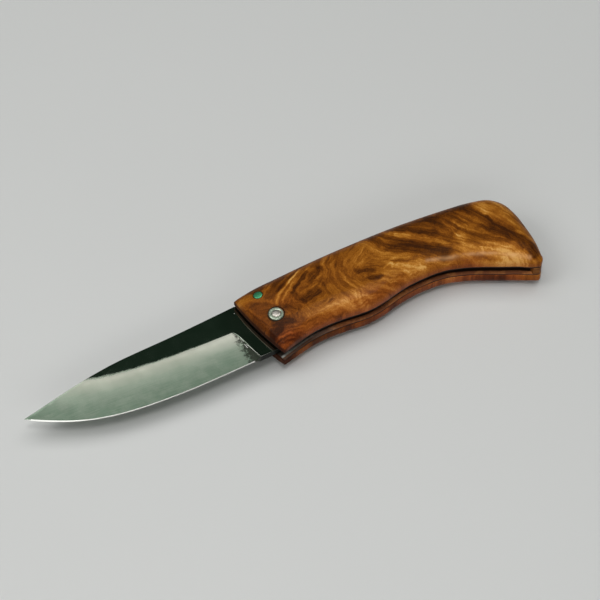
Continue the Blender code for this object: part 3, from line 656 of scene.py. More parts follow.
def wood_figure(flat, seed):
    """Tone, redness and fine lines of the wood, at places that noise has drawn about a little.

    The tone is its middle value, plus soft patches, the eye's rings, clouds, lines, bands and
    pale streaks, less dark streaks, which are deepest between the lines."""
    warped = flat.copy()
    for (size, far), seeds in zip(DRIFTS, ((seed, seed + 7), (seed + 3, seed + 5))):
        drift = np.stack([layered_noise(flat, size, one) for one in seeds], axis=1)
        warped += far * (drift - 0.5)
    lines = grain_lines(warped, LINES[0], seed + 19)
    bands = grain_lines(warped, BANDS[0], seed + 29)
    dark = streak_mask(warped, DARK_STREAKS, seed + 11)
    pale = streak_mask(warped, PALE_STREAKS, seed + 13)
    tone, red = np.full(len(flat), MIDDLE_TONE), np.zeros(len(flat))
    for lighter, redder, middle, half in PATCHES:
        reach = spot(warped, middle, half)
        tone += lighter * reach
        red += redder * reach
    tone += RING_DEPTH * eye_rings(warped, seed + 31)
    tone += CLOUD_TONE * (layered_noise(warped, 5, seed + 23) - 0.5)
    tone += LINES[1] * (lines - 0.5) + BANDS[1] * (bands - 0.5) + PALE_TONE * pale * (1 - dark / 2)
    tone -= dark * (DARK_TONE[0] + DARK_TONE[1] * (1 - lines))
    return warped, tone, red, lines


def finish_scale(piece, seed, lower):
    """Writes on a scale's points what its wood looks like there.

    The lower scale has the same figure turned round. It is redder; darker overall, more so at the
    front and lower down, and lighter towards the butt, as painted shade and light. Both scales are
    darkened as painted shade at the front end, the lower one further in. Gloss is highest in a broad
    spot, and on a broken line along the shoulder, where a highlight is painted as well."""
    places = knife_places(piece)
    flat = places[:, :2] / MM
    x, low = flat[:, 0], (np.abs(places[:, 2]) - SCALE_FACE) / MM
    rim = np.concatenate([belly_rim(), spine_rim()[::-1]])[::RIM_SKIP]
    from_front = distance_to(places[:, :2], front_line(), straight_on=False) / MM
    from_rim = distance_to(places[:, :2], rim, straight_on=False) / MM
    if lower:
        flat = flat * (-1, 1) + TURNED_ROUND
    warped, tone, red, lines = wood_figure(flat, seed)
    line = smooth_line(HIGHLIGHT_LINE, COARSE_STEPS // 3)
    from_highlight = distance_to(flat, line, straight_on=False)
    broken = np.clip(layered_noise(flat, 2.4, seed + 17) * 2.4 - 0.5, 0, 1)
    # A painted highlight along this broken line, which also raises the gloss.
    highlight_and_gloss = np.exp(-((from_highlight / HIGHLIGHT_WIDTH) ** 2)) * (0.15 + 0.85 * broken)
    if lower:
        # Painted shade and light on the lower scale: darker overall, more so at the front and lower
        # down, lighter towards the butt.
        tone += 0.24 * share_of(x, 62, 78) - 0.16 - 0.20 * share_of(x, 18, 6)
        tone -= 0.10 * share_of(low, 0, 1.5)
        red += 0.40
        # Painted shade over the front, reaching far in, under the blade.
        front_shade = np.clip(1.6 - from_front / 5.0, 0, 1)
    else:
        red += 0.45 * share_of(low, 2.6, 0.6) * (places[:, 1] < 0)
        # Painted shade on the front end wall.
        front_shade = np.clip(1.6 - from_front / 0.8, 0, 1) * share_of(low, 2.0, 1.5)
    values = {
        "tone": np.clip(tone, 0, 1),
        "red": np.clip(red, 0, 1),
        "lines": lines,
        "front_shade": front_shade,
        "gloss": 0.03 + 0.20 * spot(warped, (24, -5), (20, 3)) + 0.20 * highlight_and_gloss,
        "highlight_and_gloss": highlight_and_gloss,
        # Painted highlight on the lower scale's inner arris, towards the butt.
        "lip": share_of(low, 0.45, 0) * share_of(x, 25, 45) * lower,
        # Painted dark reflection: darker along the spine's rim.
        "rim": share_of(from_rim, 2.2, 0) * (places[:, 1] > 0),
        # Painted shade on the walls beside the slot.
        "side": np.clip(1.5 - low * MM / LIP_HEIGHT, 0, 1),
    }
    write_values(piece.data, values)


def make_scale(name, side, seed):
    """A crowned burl scale with a small arris round its inner face.

    A row of points under the front edge lets its end wall and inner face follow the bulge."""
    rings = scale_rings(side)
    ring = rings.shape[1]
    points, faces = skin(rings, first_cap=False)
    first, last = ARC_STEPS, ring - ARC_STEPS - 1
    below = rings[0, first + 1 : last].copy()
    below[:, 2] = side * SCALE_FACE
    row = [len(points) + k for k in range(len(below))]
    faces[ring - 1] = [ring - 1, *row[::-1], 0, ring, 2 * ring - 1]
    faces.append([row[0], *range(first + 2)])
    for k in range(len(row) - 1):
        faces.append([row[k], first + 1 + k, first + 2 + k, row[k + 1]])
    faces.append([row[-1], *range(last - 1, ring)])
    piece = new_piece(name + "_wood", np.concatenate([points, below]), faces, 40)
    finish_scale(piece, seed, side < 0)
    return piece


def make_liner(name, side):
    """A steel liner: rings across it, a little inside the scale's rim, with both arrises eased.

    Each point keeps its distance from the belly in millimetres, and whether it is on the wall."""
    front, eased = LINER_INSET / HANDLE_LENGTH, (LINER_INSET + LINER_ARRIS) / HANDLE_LENGTH
    shares = rim_shares()
    shares = np.r_[front, eased, shares[shares > 1.5 * eased]]
    belly, spine, span, inwards = rim_sides(shares)
    wall = np.minimum(LINER_INSET, span / 3) * inwards
    face = np.minimum(LINER_INSET + LINER_ARRIS, span / 2.5) * inwards
    start, end = belly + face, spine - face
    across = np.linspace(0, 1, LINER_STEPS) ** 2
    inner = start[:, None] + across[:, None] * (end - start)[:, None]
    turns = np.stack([spine - wall, spine - wall, end, start, belly + wall, belly + wall], axis=1)
    rows = (len(shares), 1)
    ends = np.tile(np.r_[across, 1, 1, 1, 0, 0, 0], rows)
    plan = bulged(np.concatenate([inner, turns], axis=1), ends, shares * HANDLE_LENGTH)
    low, high = LINER_FACE + LINER_ARRIS, LINER_BACK - LINER_ARRIS
    level = np.r_[np.full(LINER_STEPS, LINER_FACE), low, high, LINER_BACK, LINER_BACK, high, low]
    level = np.tile(level, rows)
    level[0] = np.clip(level[0], low, high)
    on_wall = np.tile(np.r_[np.zeros(LINER_STEPS), 1, 1, 0, 0, 1, 1], rows)
    on_wall[0] = 1
    depth = np.linalg.norm(plan - belly[:, None], axis=-1) / MM
    points, faces = skin(np.concatenate([plan, side * level[..., None]], axis=-1))
    values = {"wall": on_wall.ravel(), "depth": depth.ravel()}
    return new_piece(name + "_sheet", points, faces, 30, values)


def arc(radius, start, end, count):
    """Points on a circle about the pivot."""
    angles = np.linspace(start, end, count)
    return radius * np.stack([np.cos(angles), np.sin(angles)], axis=1)


def tang_radius():
    """Radius of the round tang, which stops short of the stop pin."""
    return math.hypot(*STOP_PIN_PLACE) - STOP_PIN_RADIUS - STOP_GAP


def tang_tangent():
    """Angle about the pivot at which the flat behind the heel runs into the round tang."""
    heel = blade_points(BLADE_EDGE_SHARES)[-1]
    return math.atan2(heel[1], heel[0]) + math.acos(tang_radius() / math.hypot(*heel))


def spacer_outline():
    """The spacer's outline, anticlockwise: the rim from the hook to the nose, then the landing
    for the blade's heel, the closed edge with its clearance, and the arc round the tip's path."""
    reach = BLADE_REACH + TIP_CLEARANCE
    nose_x = STOP_PIN_PLACE[0] + STOP_PIN_RADIUS + STOP_GAP
    rim = rim_polygon(LINER_INSET)
    first = np.argmax(np.hypot(*rim.T) > reach)
    outer = rim[first : first + np.argmax(rim[first:, 0] < nose_x)]
    edge = smooth_line(blade_points(BLADE_EDGE_SHARES), COARSE_STEPS)
    c, s = math.cos(CLOSED_ANGLE), math.sin(CLOSED_ANGLE)
    edge = edge @ np.array([[c, s], [-s, c]])
    tip_arc = arc(reach, math.atan2(*outer[0][::-1]), math.atan2(*edge[0][::-1]), COARSE_STEPS // 3)
    clear = moved_left(edge, np.gradient(edge, axis=0), -EDGE_CLEARANCE)
    angle = tang_tangent() + CLOSED_ANGLE
    landing_x = np.array([edge[-1, 0] + EDGE_CLEARANCE / 2, nose_x])
    level = tang_radius() + STOP_GAP
    landing_y = (level - math.cos(angle) * landing_x) / math.sin(angle)
    inside = np.hypot(*clear.T) < reach - TIP_CLEARANCE / 2
    clear = clear[inside & (clear[:, 0] > landing_x[0] + EDGE_CLEARANCE / 2)]
    landing = np.stack([landing_x, landing_y], axis=1)
    inner = np.concatenate([tip_arc, clear, landing])[:0:-1]
    return np.concatenate([outer, [[nose_x, outer[-1, 1]]], inner])


def make_spacer():
    """The wooden strip along the spine and round the butt, between the liners."""
    line = spacer_outline()
    rings = [np.c_[line, np.full(len(line), level)] for level in (-SPACER_HALF, SPACER_HALF)]
    points, faces = skin(np.array(rings))
    return new_piece("back_spacer_strip", points, faces, 30)


def blade_stations():
    """Stations along the ground edge, from the tip to where the plunge has run out.

    They crowd at the tip. Each section leans back towards the heel as the cube of its share of
    the way, and its width is found by going to the spine along that lean a few times over. Past
    the plunge's start the steel lifts by a circle's rise."""
    edge = smooth_line(blade_points(BLADE_EDGE_SHARES), FINE_STEPS)
    spine = smooth_line(blade_points(BLADE_SPINE_SHARES), FINE_STEPS)[::-1]
    tip_x, plunge_x = edge[0, 0], edge[-1, 0] - PLUNGE_SETBACK
    run = np.linspace(0, 1, BLADE_STATIONS) ** TIP_CROWDING
    lift_end = BLADE_HALF * LIFT_OVERRUN
    curl = math.sqrt(2 * PLUNGE_RADIUS * lift_end - lift_end**2)
    curl_steps = np.linspace(0, curl, PLUNGE_STATIONS)[1:]
    x = np.concatenate([tip_x + (plunge_x - tip_x) * run, plunge_x + curl_steps])
    y = np.interp(x, edge[:, 0], edge[:, 1])
    past = x - plunge_x
    rise = PLUNGE_RADIUS - np.sqrt(PLUNGE_RADIUS**2 - np.clip(past, 0, None) ** 2)
    share = share_of(x, tip_x, plunge_x)
    slant = PLUNGE_SLANT * share**3
    width = np.zeros(len(x))
    for _ in range(SLANT_ROUNDS):
        spine_y = np.interp(x - width * np.sin(slant), spine[:, 0], spine[:, 1])
        width = (spine_y - y) / np.cos(slant)
    return x, y, past, rise, share, slant, np.maximum(width, 0)


def blade_rows(x, rise, share, width):
    """Heights of the points up each section: edge, sharpened bevel, main bevel, flat and spine.

    The flat begins where the main bevel, lifted by the rise, reaches the flat's half thickness.
    That line wanders a little, and rows follow it closely on both sides. Also returns the
    heights where the sharpened bevel and the unlifted main bevel end, how fast the main bevel
    grows thicker, the line's height and the arris."""
    half_edge, half_sharp = EDGE_THICKNESS / 2, SHARPENED_THICKNESS / 2
    near_tip = share_of(share, *TIP_STRETCH)
    low = SHARPENED_AT_BELLY + (SHARPENED_HEIGHT - SHARPENED_AT_BELLY) * near_tip
    height = BEVEL_HEIGHT_AT_TIP + (BEVEL_HEIGHT_AT_HEEL - BEVEL_HEIGHT_AT_TIP) * share
    wave = layered_noise(np.stack([x / MM, 0 * x], axis=1) + 500, 17, 29) - 0.5
    height = height + GRIND_WAVE * wave * np.clip(share * (1 - share) * 8, 0, 1)
    gain = (BLADE_HALF - half_sharp) / (height - low)
    room = BLADE_HALF - rise
    in_low = low * share_of(room, half_edge, half_sharp)
    cross = np.where(room > half_sharp, low + (room - half_sharp) / gain, in_low)
    arris = np.minimum(BLADE_ARRIS, width / 8)
    top = width - arris
    cross = np.clip(cross, arris, top)
    sharp = np.clip(np.minimum(low, cross), arris, None)
    below = np.maximum(cross - GRIND_SPREAD, sharp)
    above = np.minimum(cross + GRIND_SPREAD, top)
    bevel = sharp + (below - sharp) * np.linspace(0.01, 1, BEVEL_ROWS)[:, None]
    way = np.linspace(-1, 1, GRIND_ROWS + 1)[1:, None]
    soft = cross + np.where(way < 0, cross - below, above - cross) * way
    flat = above + (top - above) * np.linspace(0, 1, FLAT_ROWS + 1)[1:, None]
    across = np.concatenate([[0 * x, arris, sharp], bevel, soft, flat, [width]]).T
    return across, *(one[:, None] for one in (low, height, gain, cross, arris))


def blade_sections():
    """Rings across the ground part of the blade, and their values for the material.

    The half thickness is the sharpened bevel's, then the main bevel's, a little hollow, lifted
    by the plunge's rise. It runs softly into the flat's: the lower of the two, less a parabola
    where they are nearly equal."""
    x, y, past, rise, share, slant, width = blade_stations()
    across, low, height, gain, cross, arris = blade_rows(x, rise, share, width)
    x, y, past, rise, share, slant = (one[:, None] for one in (x, y, past, rise, share, slant))

    # Half thickness at each point
    half_edge, half_sharp = EDGE_THICKNESS / 2, SHARPENED_THICKNESS / 2
    up_bevel = share_of(across, low, height)
    risen = np.clip(rise / BLADE_HALF, 0, 1)
    hollow = HOLLOW * 4 * up_bevel * (1 - up_bevel) * (1 - risen)
    in_sharp = half_edge + (half_sharp - half_edge) * across / low
    ground = half_sharp + gain * (across - low) - hollow
    level = np.where(across < low, in_sharp, ground) + rise
    near = np.clip(1 - np.abs(level - BLADE_HALF) / GRIND_SOFTNESS, 0, None)
    level = np.minimum(level, BLADE_HALF) - near**2 * GRIND_SOFTNESS / 4
    level[:, -3:] = np.maximum(level[:, -3:], level[:, -4:-3])
    level[:, :1] = np.minimum(level[:, :1], BLADE_HALF - arris)
    level[:, -1:] = level[:, -2:-1] - np.minimum(arris, level[:, -2:-1] / 2)
    upper = np.stack([x - across * np.sin(slant), y + across * np.cos(slant), level], axis=-1)

    # Values: how far ground, the walls at both rims, the bevel's turn at the plunge, and how far past
    # its start, which place its painted dark reflection
    blur = LINE_BLUR + TIP_BLUR * np.clip(0.9 - share, 0, 1) ** 0.8
    grind = np.clip(0.5 - (across - cross) / blur, 0, 1)
    grind[:, :3] += np.clip(1 - 6 * risen, 0, 1)
    wall = np.zeros_like(across)
    wall[:, :1], wall[:, -1] = np.clip(2 * risen, 0, 1), 1
    turn = share_of(np.abs(across - cross), TURN_WIDTH, 0) * share_of(past, 0, TURN_RUN)
    cove = np.clip(1 + past / PLUNGE_SCALE, 0, 2) + 0 * across
    values = {"grind": grind, "across": up_bevel, "cove": cove, "wall": wall, "turn": turn}
    values = {key: np.concatenate([one, one[:, ::-1]], axis=1) for key, one in values.items()}
    return np.concatenate([upper, upper[:, ::-1] * UPSIDE_DOWN], axis=1), values


def tang_shell(section):
    """The plain part of the blade, from its last ground section to the round tang.

    The outline runs from the section's edge end along the ricasso, the flat behind the heel,
    the tang's circle, the shoulder and the ramp to the section's spine end. Both faces are the
    outline drawn in by the arris."""
    rows = len(section) // 2
    upper = section[:rows]
    edge = smooth_line(blade_points(BLADE_EDGE_SHARES), FINE_STEPS)
    spine = smooth_line(blade_points(BLADE_SPINE_SHARES), FINE_STEPS)
    shoulder_x = STOP_PIN_PLACE[0] - STOP_PIN_RADIUS - STOP_GAP
    shoulder = np.array([shoulder_x, STOP_PIN_PLACE[1] + STOP_PIN_RADIUS])
    middle = shoulder + (spine[0] - shoulder) * RAMP_SHARES
    ramp_line = smooth_line([shoulder, middle, spine[0]], RAMP_STEPS)
    root = math.pi - math.acos(-shoulder_x / tang_radius())
    tang = arc(tang_radius(), tang_tangent(), root, TANG_STEPS)
    low = edge[edge[:, 0] > upper[0, 0]][::OUTLINE_SKIP]
    high = spine[spine[:, 0] > upper[-1, 0]][::OUTLINE_SKIP]
    line = [upper[:1, :2], low, edge[-1:], tang, ramp_line, high[1:], upper[-1:, :2]]
    line = np.concatenate(line)
    keep = np.r_[True, np.linalg.norm(np.diff(line, axis=0), axis=1) > SHORTEST_STEP]
    keep[-1] = True
    line = line[keep]
    drawn = moved_left(line, np.gradient(line, axis=0), BLADE_ARRIS)
    drawn[0], drawn[-1] = upper[1, :2], upper[-2, :2]
    side = BLADE_HALF - BLADE_ARRIS
    edges = ((drawn, BLADE_HALF), (line, side), (line, -side), (drawn, -BLADE_HALF))
    count = len(line)
    walls = [np.c_[plan, np.full(count, level)] for plan, level in edges]
    points = np.concatenate([*walls, upper[2:-2], upper[2:-2] * UPSIDE_DOWN])
    index = np.arange(4 * count).reshape(4, count)
    quads = np.stack([index[:-1, :-1], index[1:, :-1], index[1:, 1:], index[:-1, 1:]], axis=-1)
    closing = 4 * count + np.arange(rows - 4)[::-1]
    faces = quads.reshape(-1, 4).tolist()
    faces += [[*index[0], *closing], [*index[3], *(closing + rows - 4)]]
    on_wall = np.zeros(len(points))
    on_wall[count : 3 * count] = 1
    return points, [list(map(int, face)) for face in faces], on_wall


def make_blade():
    """The blade: its ground sections and the plain tang, joined along the last section."""
    rings, values = blade_sections()
    points, faces = skin(rings, last_cap=False)
    tang_points, tang_faces, tang_wall = tang_shell(rings[-1])
    faces += [[k + len(points) for k in face] for face in tang_faces]
    tang = {key: np.zeros(len(tang_points)) for key in values}
    tang["wall"] = 2 * tang_wall
    joined = {key: np.concatenate([values[key].ravel(), tang[key]]) for key in values}
    return new_piece("blade_steel", np.concatenate([points, tang_points]), faces, 3.5, joined)


def make_washer(name, side):
    """A turned washer: rounded rim, flat ring, and a shallow dish round the pin's head."""
    bore, ring = HEAD_RADIUS * BORE_SHARE, HEAD_RADIUS + DISH_MARGIN
    dished = WASHER_TOP - WASHER_DISH
    profile = [
        (bore, WASHER_FLOOR),
        (bore, dished),
        (ring - WASHER_DISH, dished),
        (ring, WASHER_TOP),
        (WASHER_RADIUS - WASHER_RIM[0], WASHER_TOP),
        (WASHER_RADIUS, WASHER_TOP - WASHER_RIM[1]),
        (WASHER_RADIUS, WASHER_FLOOR),
        (bore, WASHER_FLOOR),
    ]
    rings = turned_rings(rounded(profile, WASHER_EASING)) * (1, 1, side)
    return new_piece(name + "_ring", *skin(rings, first_cap=False, last_cap=False), 35)


def make_pivot_pin():
    """The peened pin: a shaft, and at each end a low head that is uneven from the hammer.

    The head's profile is a quarter ellipse, a little fuller near its rim."""
    floor = WASHER_TOP - WASHER_DISH
    turn = np.linspace(0, math.pi / 2, HEAD_STEPS)
    rise = HEAD_TOP - floor
    head = [(HEAD_RADIUS * math.sin(a), floor + rise * math.cos(a) ** HEAD_FULLNESS) for a in turn]
    upper = [*head, (HEAD_RADIUS * HEAD_FOOT[0], floor - HEAD_FOOT[1])]
    rings = turned_rings([*upper, *[(r, -z) for r, z in upper[::-1]]])
    points, faces = skin(rings, first_cap=False, last_cap=False)
    uneven = layered_noise(points[:, :2] / MM + 20, 0.9, 41) - 0.5
    height = points[:, 2]
    points[:, 2] += np.sign(height) * HAMMER_MARKS * uneven * (np.abs(height) > floor)
    return new_piece("pivot_pin_peened", points, faces, 60)


def make_stop_pin():
    """The stop pin: a cylinder whose ends are ground to the scales' surface, with a fine rim."""
    proud = np.array(STOP_PIN_PROUD)[:, None]
    disc = turned_rings([(share * STOP_PIN_RADIUS, 0) for share in STOP_PIN_SHARES], STOP_PIN_PLACE)
    ends = []
    for side, lip in ((1, LIP_HEIGHT), (-1, LOWER_LIP_HEIGHT)):
        end = disc.copy()
        heights = scale_heights(end[..., :2].reshape(-1, 2), lip).reshape(end.shape[:2])
        end[..., 2] = side * (SCALE_FACE + heights + proud)
        ends.append(end[::side])
    points, faces = skin(np.concatenate(ends), first_cap=False, last_cap=False)
    on_end = np.ones((2 * len(proud), ROUND_SIDES))
    on_end[len(proud) - 1 : len(proud) + 1] = 0
    return new_piece("stop_pin_ground", points, faces, 50, {"end": on_end.ravel()})


class Value:
    """A node's output in a shader tree. Sums of such values make the nodes that work them out."""

    def __init__(self, made, key=0):
        self.tree, self.socket = made.id_data, made.outputs[key]

    def math(self, operation, *others, key=0):
        kind = "VectorMath" if self.socket.type == "VECTOR" else "Math"
        inputs = dict(enumerate((self, *others)))
        return Value(node(self.tree, kind, inputs, operation=operation), key)

    def __add__(self, other):
        return self.math("ADD", other)

    def __sub__(self, other):
        return self.math("SUBTRACT", other)

    def __mul__(self, other):
        return self.math("MULTIPLY", other)

    def __truediv__(self, other):
        return self.math("DIVIDE", other)

    __rmul__ = __mul__

    def length(self):
        return self.math("LENGTH", key="Value")

    def dot(self, other):
        return self.math("DOT_PRODUCT", other, key="Value")

    def ranged(self, low, high, to_low=0, to_high=1):
        """The value's range carried to another range, and held at its ends."""
        inputs = dict(enumerate((self, low, high, to_low, to_high)))
        return Value(node(self.tree, "MapRange", inputs))


def feed(made, values):
    """Links a node's inputs to values of its tree, or sets them."""
    for key, value in values.items():
        if isinstance(value, Value):
            made.id_data.links.new(value.socket, made.inputs[key])
        else:
            made.inputs[key].default_value = value


def node(tree, kind, inputs, **settings):
    """A new node of a tree."""
    made = tree.nodes.new("ShaderNode" + kind)
    for key, value in settings.items():
        setattr(made, key, value)
    feed(made, inputs)
    return made


def noise(place, scale, detail, roughness=0.5):
    """Layered noise at a place, from 0 to 1."""
    inputs = {"Vector": place, "Scale": scale, "Detail": detail, "Roughness": roughness}
    return Value(node(place.tree, "TexNoise", inputs), "Fac")


def covered(colour, *layers):
    """A colour under others. Each of them covers its share of what lies below it."""
    for share, other in layers:
        sides = [side if isinstance(side, Value) else (*side, 1) for side in (colour, other)]
        inputs = dict(zip((0, 6, 7), (share, *sides)))
        colour = Value(node(share.tree, "Mix", inputs, data_type="RGBA"), 2)
    return colour


def ramp(value, *stops):
    """Colours along a value."""
    made = node(value.tree, "ValToRGB", {"Fac": value})
    elements = made.color_ramp.elements
    elements[0].position, elements[1].position = stops[0][0], stops[-1][0]
    elements[0].color, elements[1].color = (*stops[0][1], 1), (*stops[-1][1], 1)
    for place, colour in stops[1:-1]:
        elements.new(place).color = (*colour, 1)
    return Value(made)


def bump(height, distance, strength=0.5):
    """A normal that follows a height."""
    inputs = {"Height": height, "Distance": distance, "Strength": strength}
    return Value(node(height.tree, "Bump", inputs), "Normal")


def written(place, *keys):
    """Values that were written on the piece's points."""
    return [Value(node(place.tree, "Attribute", {}, attribute_name=key), "Fac") for key in keys]


def ruled_line(place, start, run, width):
    """How near a place is to a straight segment, seen from above: the offset less its part along
    the segment, held to the segment's ends."""
    flat = (place - start) * FROM_ABOVE
    share = (flat.dot(run) / run.dot(run)).ranged(0, 1)
    return [((flat - run * share).length() / width).ranged(0.5, 1, 1, 0)]


def brushed_lines(place, fineness, length):
    """Fine parallel scratches along X, which are noise drawn out, and blurred patches."""
    drawn = Value(node(place.tree, "CombineXYZ", {0: length, 1: fineness, 2: fineness}))
    return noise(place * drawn, 1, 3), noise(place, 260, 3)


def pin_seam(place, middle, radius, width):
    """A thin dark ring round a pin let into the wood, and the darker halo outside it."""
    over = (((place - middle) * FROM_ABOVE).length() - radius) / width
    return over.math("ABSOLUTE").ranged(0.4, 1, 1, 0), over.ranged(0, 5, 1, 0)


def blotches(place, scale, cover):
    """Soft blotches of tarnish or grime, from two sizes of noise."""
    both = noise(place, scale, 4) + 0.3 * noise(place, 6 * scale, 2)
    return [(both + cover - 1).ranged(0, 0.2)]


def new_group(name, formula, inputs, outputs):
    """A shared node group that works out a formula.

    Inputs without a value are vectors. The others are numbers, and so are the outputs."""
    group = bpy.data.node_groups.new(name, "ShaderNodeTree")
    for key, value in inputs.items():
        kind = "NodeSocketVector" if value is None else "NodeSocketFloat"
        socket = group.interface.new_socket(key, in_out="INPUT", socket_type=kind)
        if value is not None:
            socket.default_value = value
    for key in outputs:
        group.interface.new_socket(key, in_out="OUTPUT", socket_type="NodeSocketFloat")
    start = group.nodes.new("NodeGroupInput")
    end = group.nodes.new("NodeGroupOutput")
    feed(end, dict(zip(outputs, formula(*[Value(start, key) for key in inputs]))))
    return group


GROUPS = {
    name: new_group(name, formula, {"Vector": None, **inputs}, outputs)
    for name, formula, inputs, outputs in (
        ("brushed lines", brushed_lines, {"Fineness": 9000, "Length": 90}, ["Lines", "Patches"]),
        ("pin seam", pin_seam, {"Middle": None, "Radius": 0.003, "Width": 0.0003}, ["Seam", "Halo"]),
        ("blotches", blotches, {"Scale": 400, "Cover": 0.5}, ["Mask"]),
        ("ruled line", ruled_line, {"Start": None, "Run": None, "Width": 0.0001}, ["Mask"]),
    )
}


def grouped(name, place, **values):
    """The outputs of one of the shared groups, with its inputs fed."""
    made = place.tree.nodes.new("ShaderNodeGroup")
    made.node_tree = GROUPS[name]
    feed(made, {"Vector": place, **values})
    return [Value(made, k) for k in range(len(made.outputs))]


def ruled(place, first, last, width):
    """The mask of a straight line between two knife places. All are in millimetres."""
    start, run = PIVOT[:2] + np.array(first) * MM, np.subtract(last, first) * MM
    return grouped("ruled line", place, Start=(*start, 0), Run=(*run, 0), Width=width * MM)[0]


def along_knife(place, first, last, to_first=0, to_last=1):
    """A range of places along the knife, in millimetres from the pivot, carried to another."""
    along = Value(node(place.tree, "SeparateXYZ", {0: place}), "X")
    return along.ranged(PIVOT[0] + first * MM, PIVOT[0] + last * MM, to_first, to_last)


def new_material(name):
    """A material and its Object coordinates."""
    material = bpy.data.materials.new(name)
    material.use_nodes = True
    return material, Value(material.node_tree.nodes.new("ShaderNodeTexCoord"), "Object")


def finished(material, **values):
    """The material with its surface shader fed. An underscore in a name stands for a space."""
    named = {key.replace("_", " "): value for key, value in values.items()}
    feed(material.node_tree.nodes["Principled BSDF"], named)
    return material


def burl_wood(name, shift):
    """Oiled, polished burl: the written figure, pores, seams round the pins and uneven gloss."""
    material, place = new_material(name)
    tone, lines, red, rim, front_shade = written(place, "tone", "lines", "red", "rim", "front_shade")
    side, lip, highlight_and_gloss, gloss = written(place, "side", "lip", "highlight_and_gloss", "gloss")
    cells = Value(node(place.tree, "TexVoronoi", {"Vector": place, "Scale": 1500}), "Distance")
    pore = cells.ranged(0.10, 0.30, 1, 0)
    tone = tone + noise(place, 2200, 3).ranged(0.3, 0.7, -0.075, 0.075)
    # Painted dark reflection along the spine's rim, painted shade beside the slot, and a painted
    # highlight on the lower scale's inner arris.
    tone = tone - 0.07 * pore - 0.25 * rim - 0.06 * side + 0.20 * lip
    brown = ramp(
        tone,
        (0.00, (0.048, 0.014, 0.004)),
        (0.20, (0.102, 0.029, 0.004)),
        (0.42, (0.192, 0.057, 0.006)),
        (0.62, (0.335, 0.112, 0.011)),
        (0.82, (0.545, 0.222, 0.031)),
        (1.00, (0.760, 0.420, 0.115)),
    )
    reddish = ramp(
        tone,
        (0.00, (0.030, 0.007, 0.004)),
        (0.30, (0.125, 0.027, 0.007)),
        (0.60, (0.340, 0.080, 0.016)),
        (1.00, (0.640, 0.240, 0.060)),
    )
    # The first colour here is that of a painted highlight along the shoulder.
    polished, front_shade_colour = (0.82, 0.46, 0.22), (0.036, 0.010, 0.006)
    # The front end is darkened here as painted shade.
    colour = covered(brown, (red, reddish), (0.5 * highlight_and_gloss, polished), (0.88 * front_shade, front_shade_colour))
    for middle, radius in ((PIVOT_SPOT, WASHER_RADIUS), (STOP_PIN_SPOT, STOP_PIN_RADIUS)):
        sizes = {"Radius": radius + SEAM_OFFSET, "Width": SEAM_WIDTH}
        seam, halo = grouped("pin seam", place, Middle=middle, **sizes)
        colour = covered(colour, (0.35 * halo, (0.05, 0.02, 0.008)), (seam, (0.008, 0.005, 0.003)))
    (smear,) = grouped("blotches", place, Scale=160 + shift, Cover=0.5)
    matt = front_shade.math("MAXIMUM", rim)
    return finished(
        material,
        Base_Color=colour,
        Roughness=smear.ranged(0, 1, 0.34, 0.46) + 0.25 * matt,
        Specular_IOR_Level=0.12,
        Specular_Tint=WOOD_TINT,
        Coat_Weight=matt.ranged(0, 1, 1, 0) * gloss,
        Coat_Roughness=0.14,
        Normal=bump(0.8 * lines - 0.5 * pore, 0.00006),
    )


